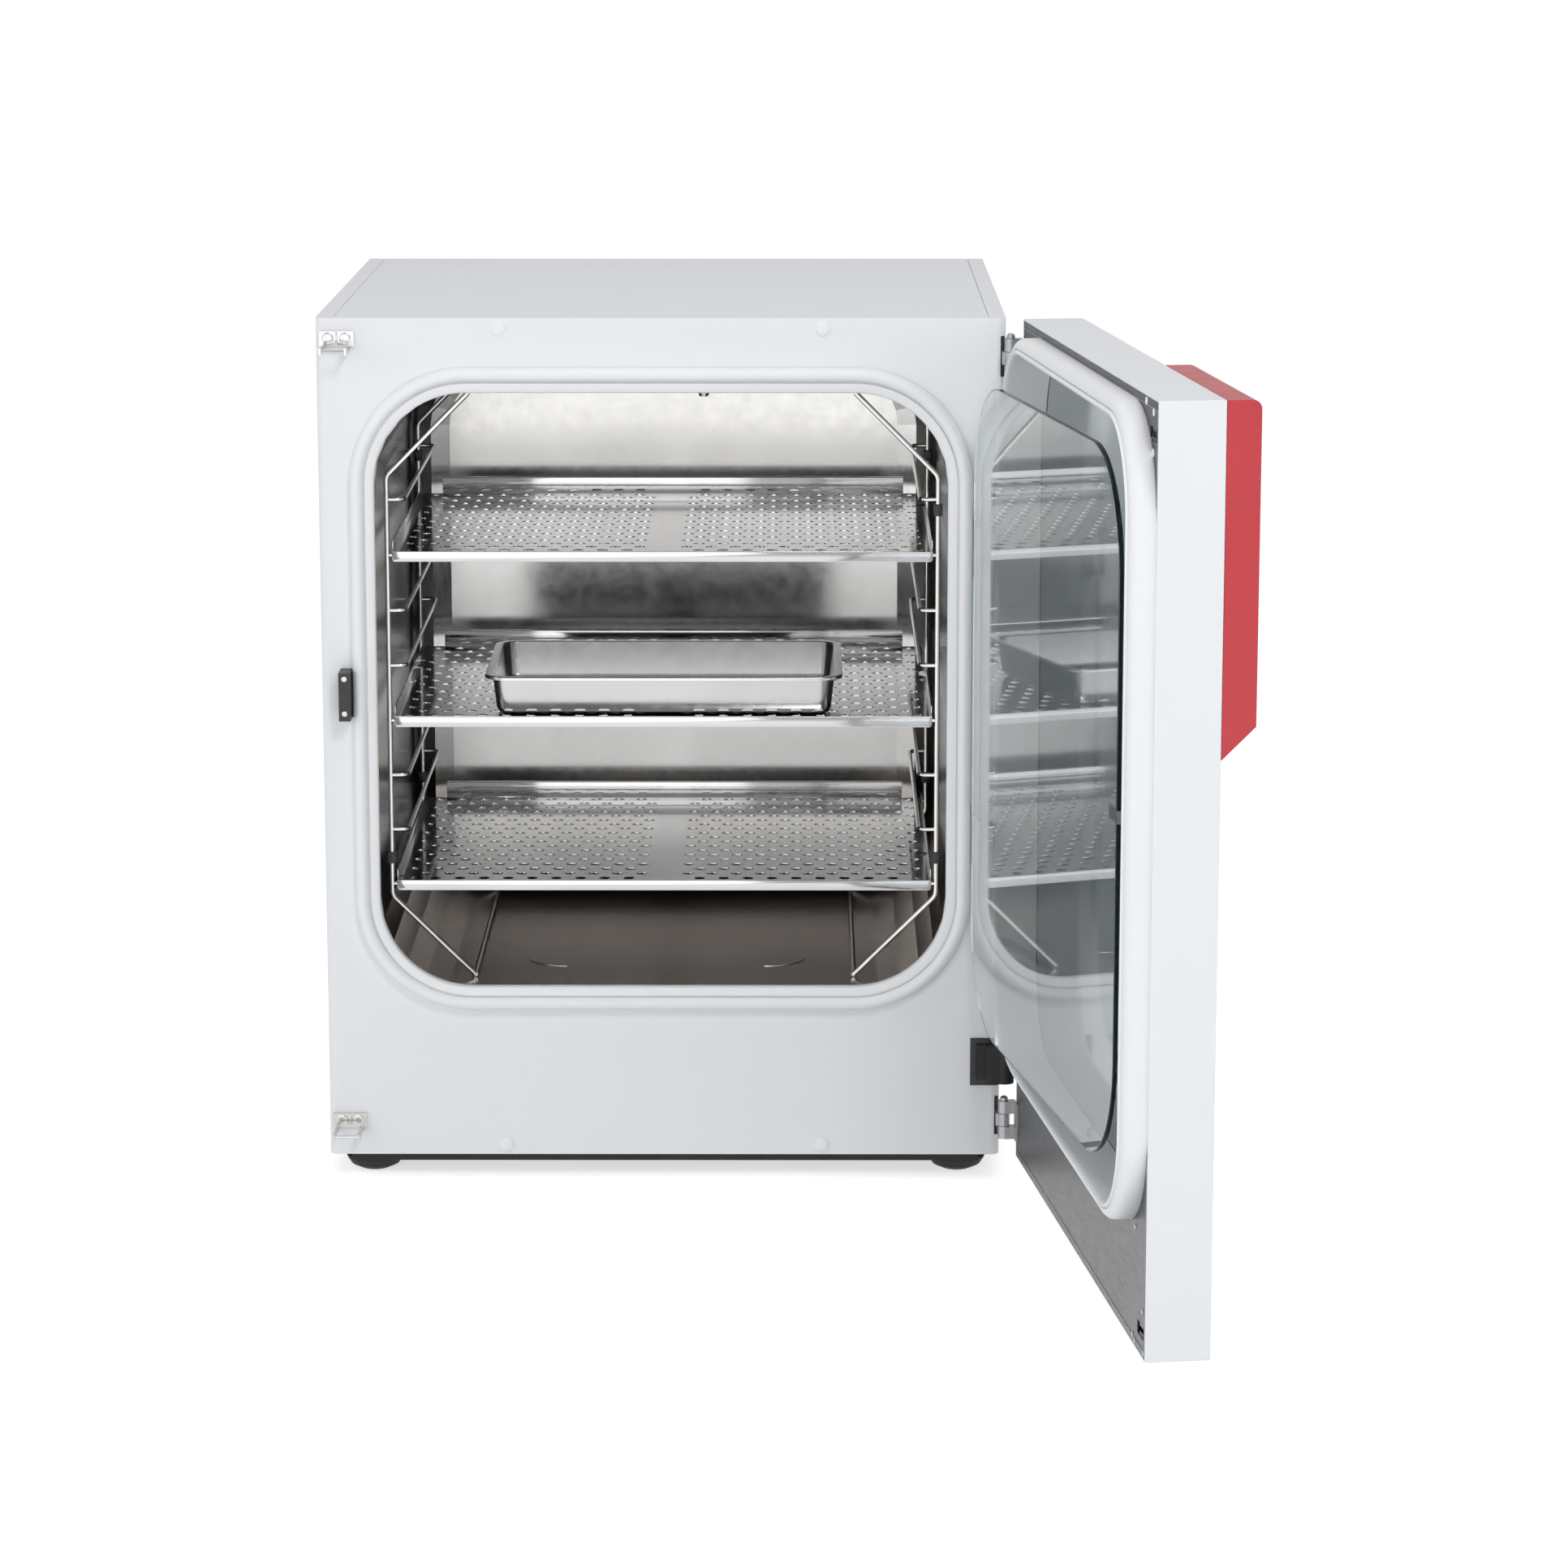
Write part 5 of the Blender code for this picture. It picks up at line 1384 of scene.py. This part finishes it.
@dataclass
class Studio:
    """Pale floor, soft lights and the photograph's camera."""

    camera_place: Point = (0.1352, -5.1543, 1.3621)
    pitch: float = 11.292
    turn: float = 0.162
    lens: float = 112.99
    sensor: float = 36.0
    sight: float = 200.0
    floor_size: float = 90.0
    floor_height: float = -0.0132
    floor_grey: Colour = (0.92, 0.92, 0.92)
    floor_glow: float = 0.62
    sky: tuple[tuple[float, Colour], ...] = ((0.0, (0.96, 0.96, 0.96)),
                                             (0.12, (0.88, 0.88, 0.88)),
                                             (0.5, (0.44, 0.44, 0.445)))
    sky_light: float = 0.85
    sky_seen: float = 1.35
    lamps: tuple[Lamp, ...] = (
        Lamp("key_softbox", (0.9, -3.5, 3.0), (0, -0.3, 0.45), 0.8, 35.0),
        Lamp("low_softbox", (-0.9, -4.0, 0.5), (0, -0.3, 0.25), 3.0, 33.0),
        Lamp("left_softbox", (-3.2, -1.2, 1.8), (0, 0, 0.5), 1.8, 16.0),
        Lamp("right_softbox", (3.4, -2.0, 2.0), (0.3, -0.6, 0.5), 1.8, 15.0),
        Lamp("top_softbox", (0.1, -0.2, 3.4), (0.1, -0.2, 0.8), 2.4, 22.0))

    def build(self) -> None:
        """Build the floor, the world, the lamps and the camera."""
        self.make_floor()
        self.make_world()
        for lamp in self.lamps:
            lamp.build()
        self.make_camera()

    def make_floor(self) -> None:
        """Wide pale floor, which looks whiter to the camera, in mirrors and in glass."""
        rest_all()
        bpy.ops.mesh.primitive_plane_add(size=self.floor_size,
                                         location=(0, 0, self.floor_height))
        floor = settle(bpy.context.object)
        floor.name = "studio_floor"
        surface = Surface("pale_studio_floor")
        surface.set(Base_Color=self.floor_grey, Roughness=0.9, Specular_IOR_Level=0.1)
        tree = surface.tree
        path = add_node(tree, "ShaderNodeLightPath", {})
        seen = path.outputs["Is Camera Ray"]
        for ray in ("Is Glossy Ray", "Is Transmission Ray"):
            seen = add_node(tree, "ShaderNodeMath", {0: seen, 1: path.outputs[ray]},
                            operation="MAXIMUM").outputs[0]
        strength = add_node(tree, "ShaderNodeMath", {0: seen, 1: self.floor_glow},
                            operation="MULTIPLY")
        glow = add_node(tree, "ShaderNodeEmission", {"Strength": strength.outputs[0]})
        both = add_node(tree, "ShaderNodeAddShader",
                        {0: surface.shader.outputs[0], 1: glow.outputs[0]})
        tree.links.new(both.outputs[0], tree.nodes["Material Output"].inputs["Surface"])
        floor.data.materials.append(surface.material)

    def make_world(self) -> None:
        """Soft white surroundings, darker overhead."""
        world = bpy.data.worlds.new("studio_light")
        bpy.context.scene.world = world
        world.use_nodes = True
        tree = world.node_tree
        way = add_node(tree, "ShaderNodeTexCoord", {})
        split = add_node(tree, "ShaderNodeSeparateXYZ", {0: way.outputs["Generated"]})
        ramp = add_node(tree, "ShaderNodeValToRGB", {"Fac": split.outputs["Z"]})
        stops = ramp.color_ramp.elements
        level, *between, overhead = self.sky
        for stop, (height, colour) in zip(stops, (level, overhead)):
            stop.position, stop.color = height, (*colour, 1)
        for height, colour in between:
            stops.new(height).color = (*colour, 1)
        path = add_node(tree, "ShaderNodeLightPath", {})
        strength = add_node(tree, "ShaderNodeMapRange",
                            {"Value": path.outputs["Is Camera Ray"],
                             "To Min": self.sky_light, "To Max": self.sky_seen})
        background = tree.nodes["Background"]
        tree.links.new(ramp.outputs["Color"], background.inputs["Color"])
        tree.links.new(strength.outputs["Result"], background.inputs["Strength"])

    def make_camera(self) -> None:
        """Camera at the photograph's viewing angle."""
        rest_all()
        bpy.ops.object.camera_add(location=self.camera_place, rotation=(
            math.radians(90 - self.pitch), 0, math.radians(self.turn)))
        camera = bpy.context.object
        camera.name = "photograph_view"
        camera.data.lens = self.lens
        camera.data.sensor_width = self.sensor
        camera.data.clip_end = self.sight
        bpy.context.scene.camera = camera


def finish_nodes() -> None:
    """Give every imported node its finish."""
    for finish, names in NODE_FINISHES.items():
        for name in names:
            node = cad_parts[name]
            node.data.materials.clear()
            node.data.materials.append(finish.material())


def main() -> None:
    """Build every class in order, then set the look of the scene."""
    logging.basicConfig(level=logging.INFO, format="%(message)s")
    finish_nodes()
    for part in (Cabinet(), Chamber(), *SHELVES, WaterPan(), OuterDoor(), GlassDoor(),
                 Studio()):
        part.build()
    rest_all()
    bpy.context.scene.view_settings.view_transform = "Standard"


if __name__ == "__main__":
    main()
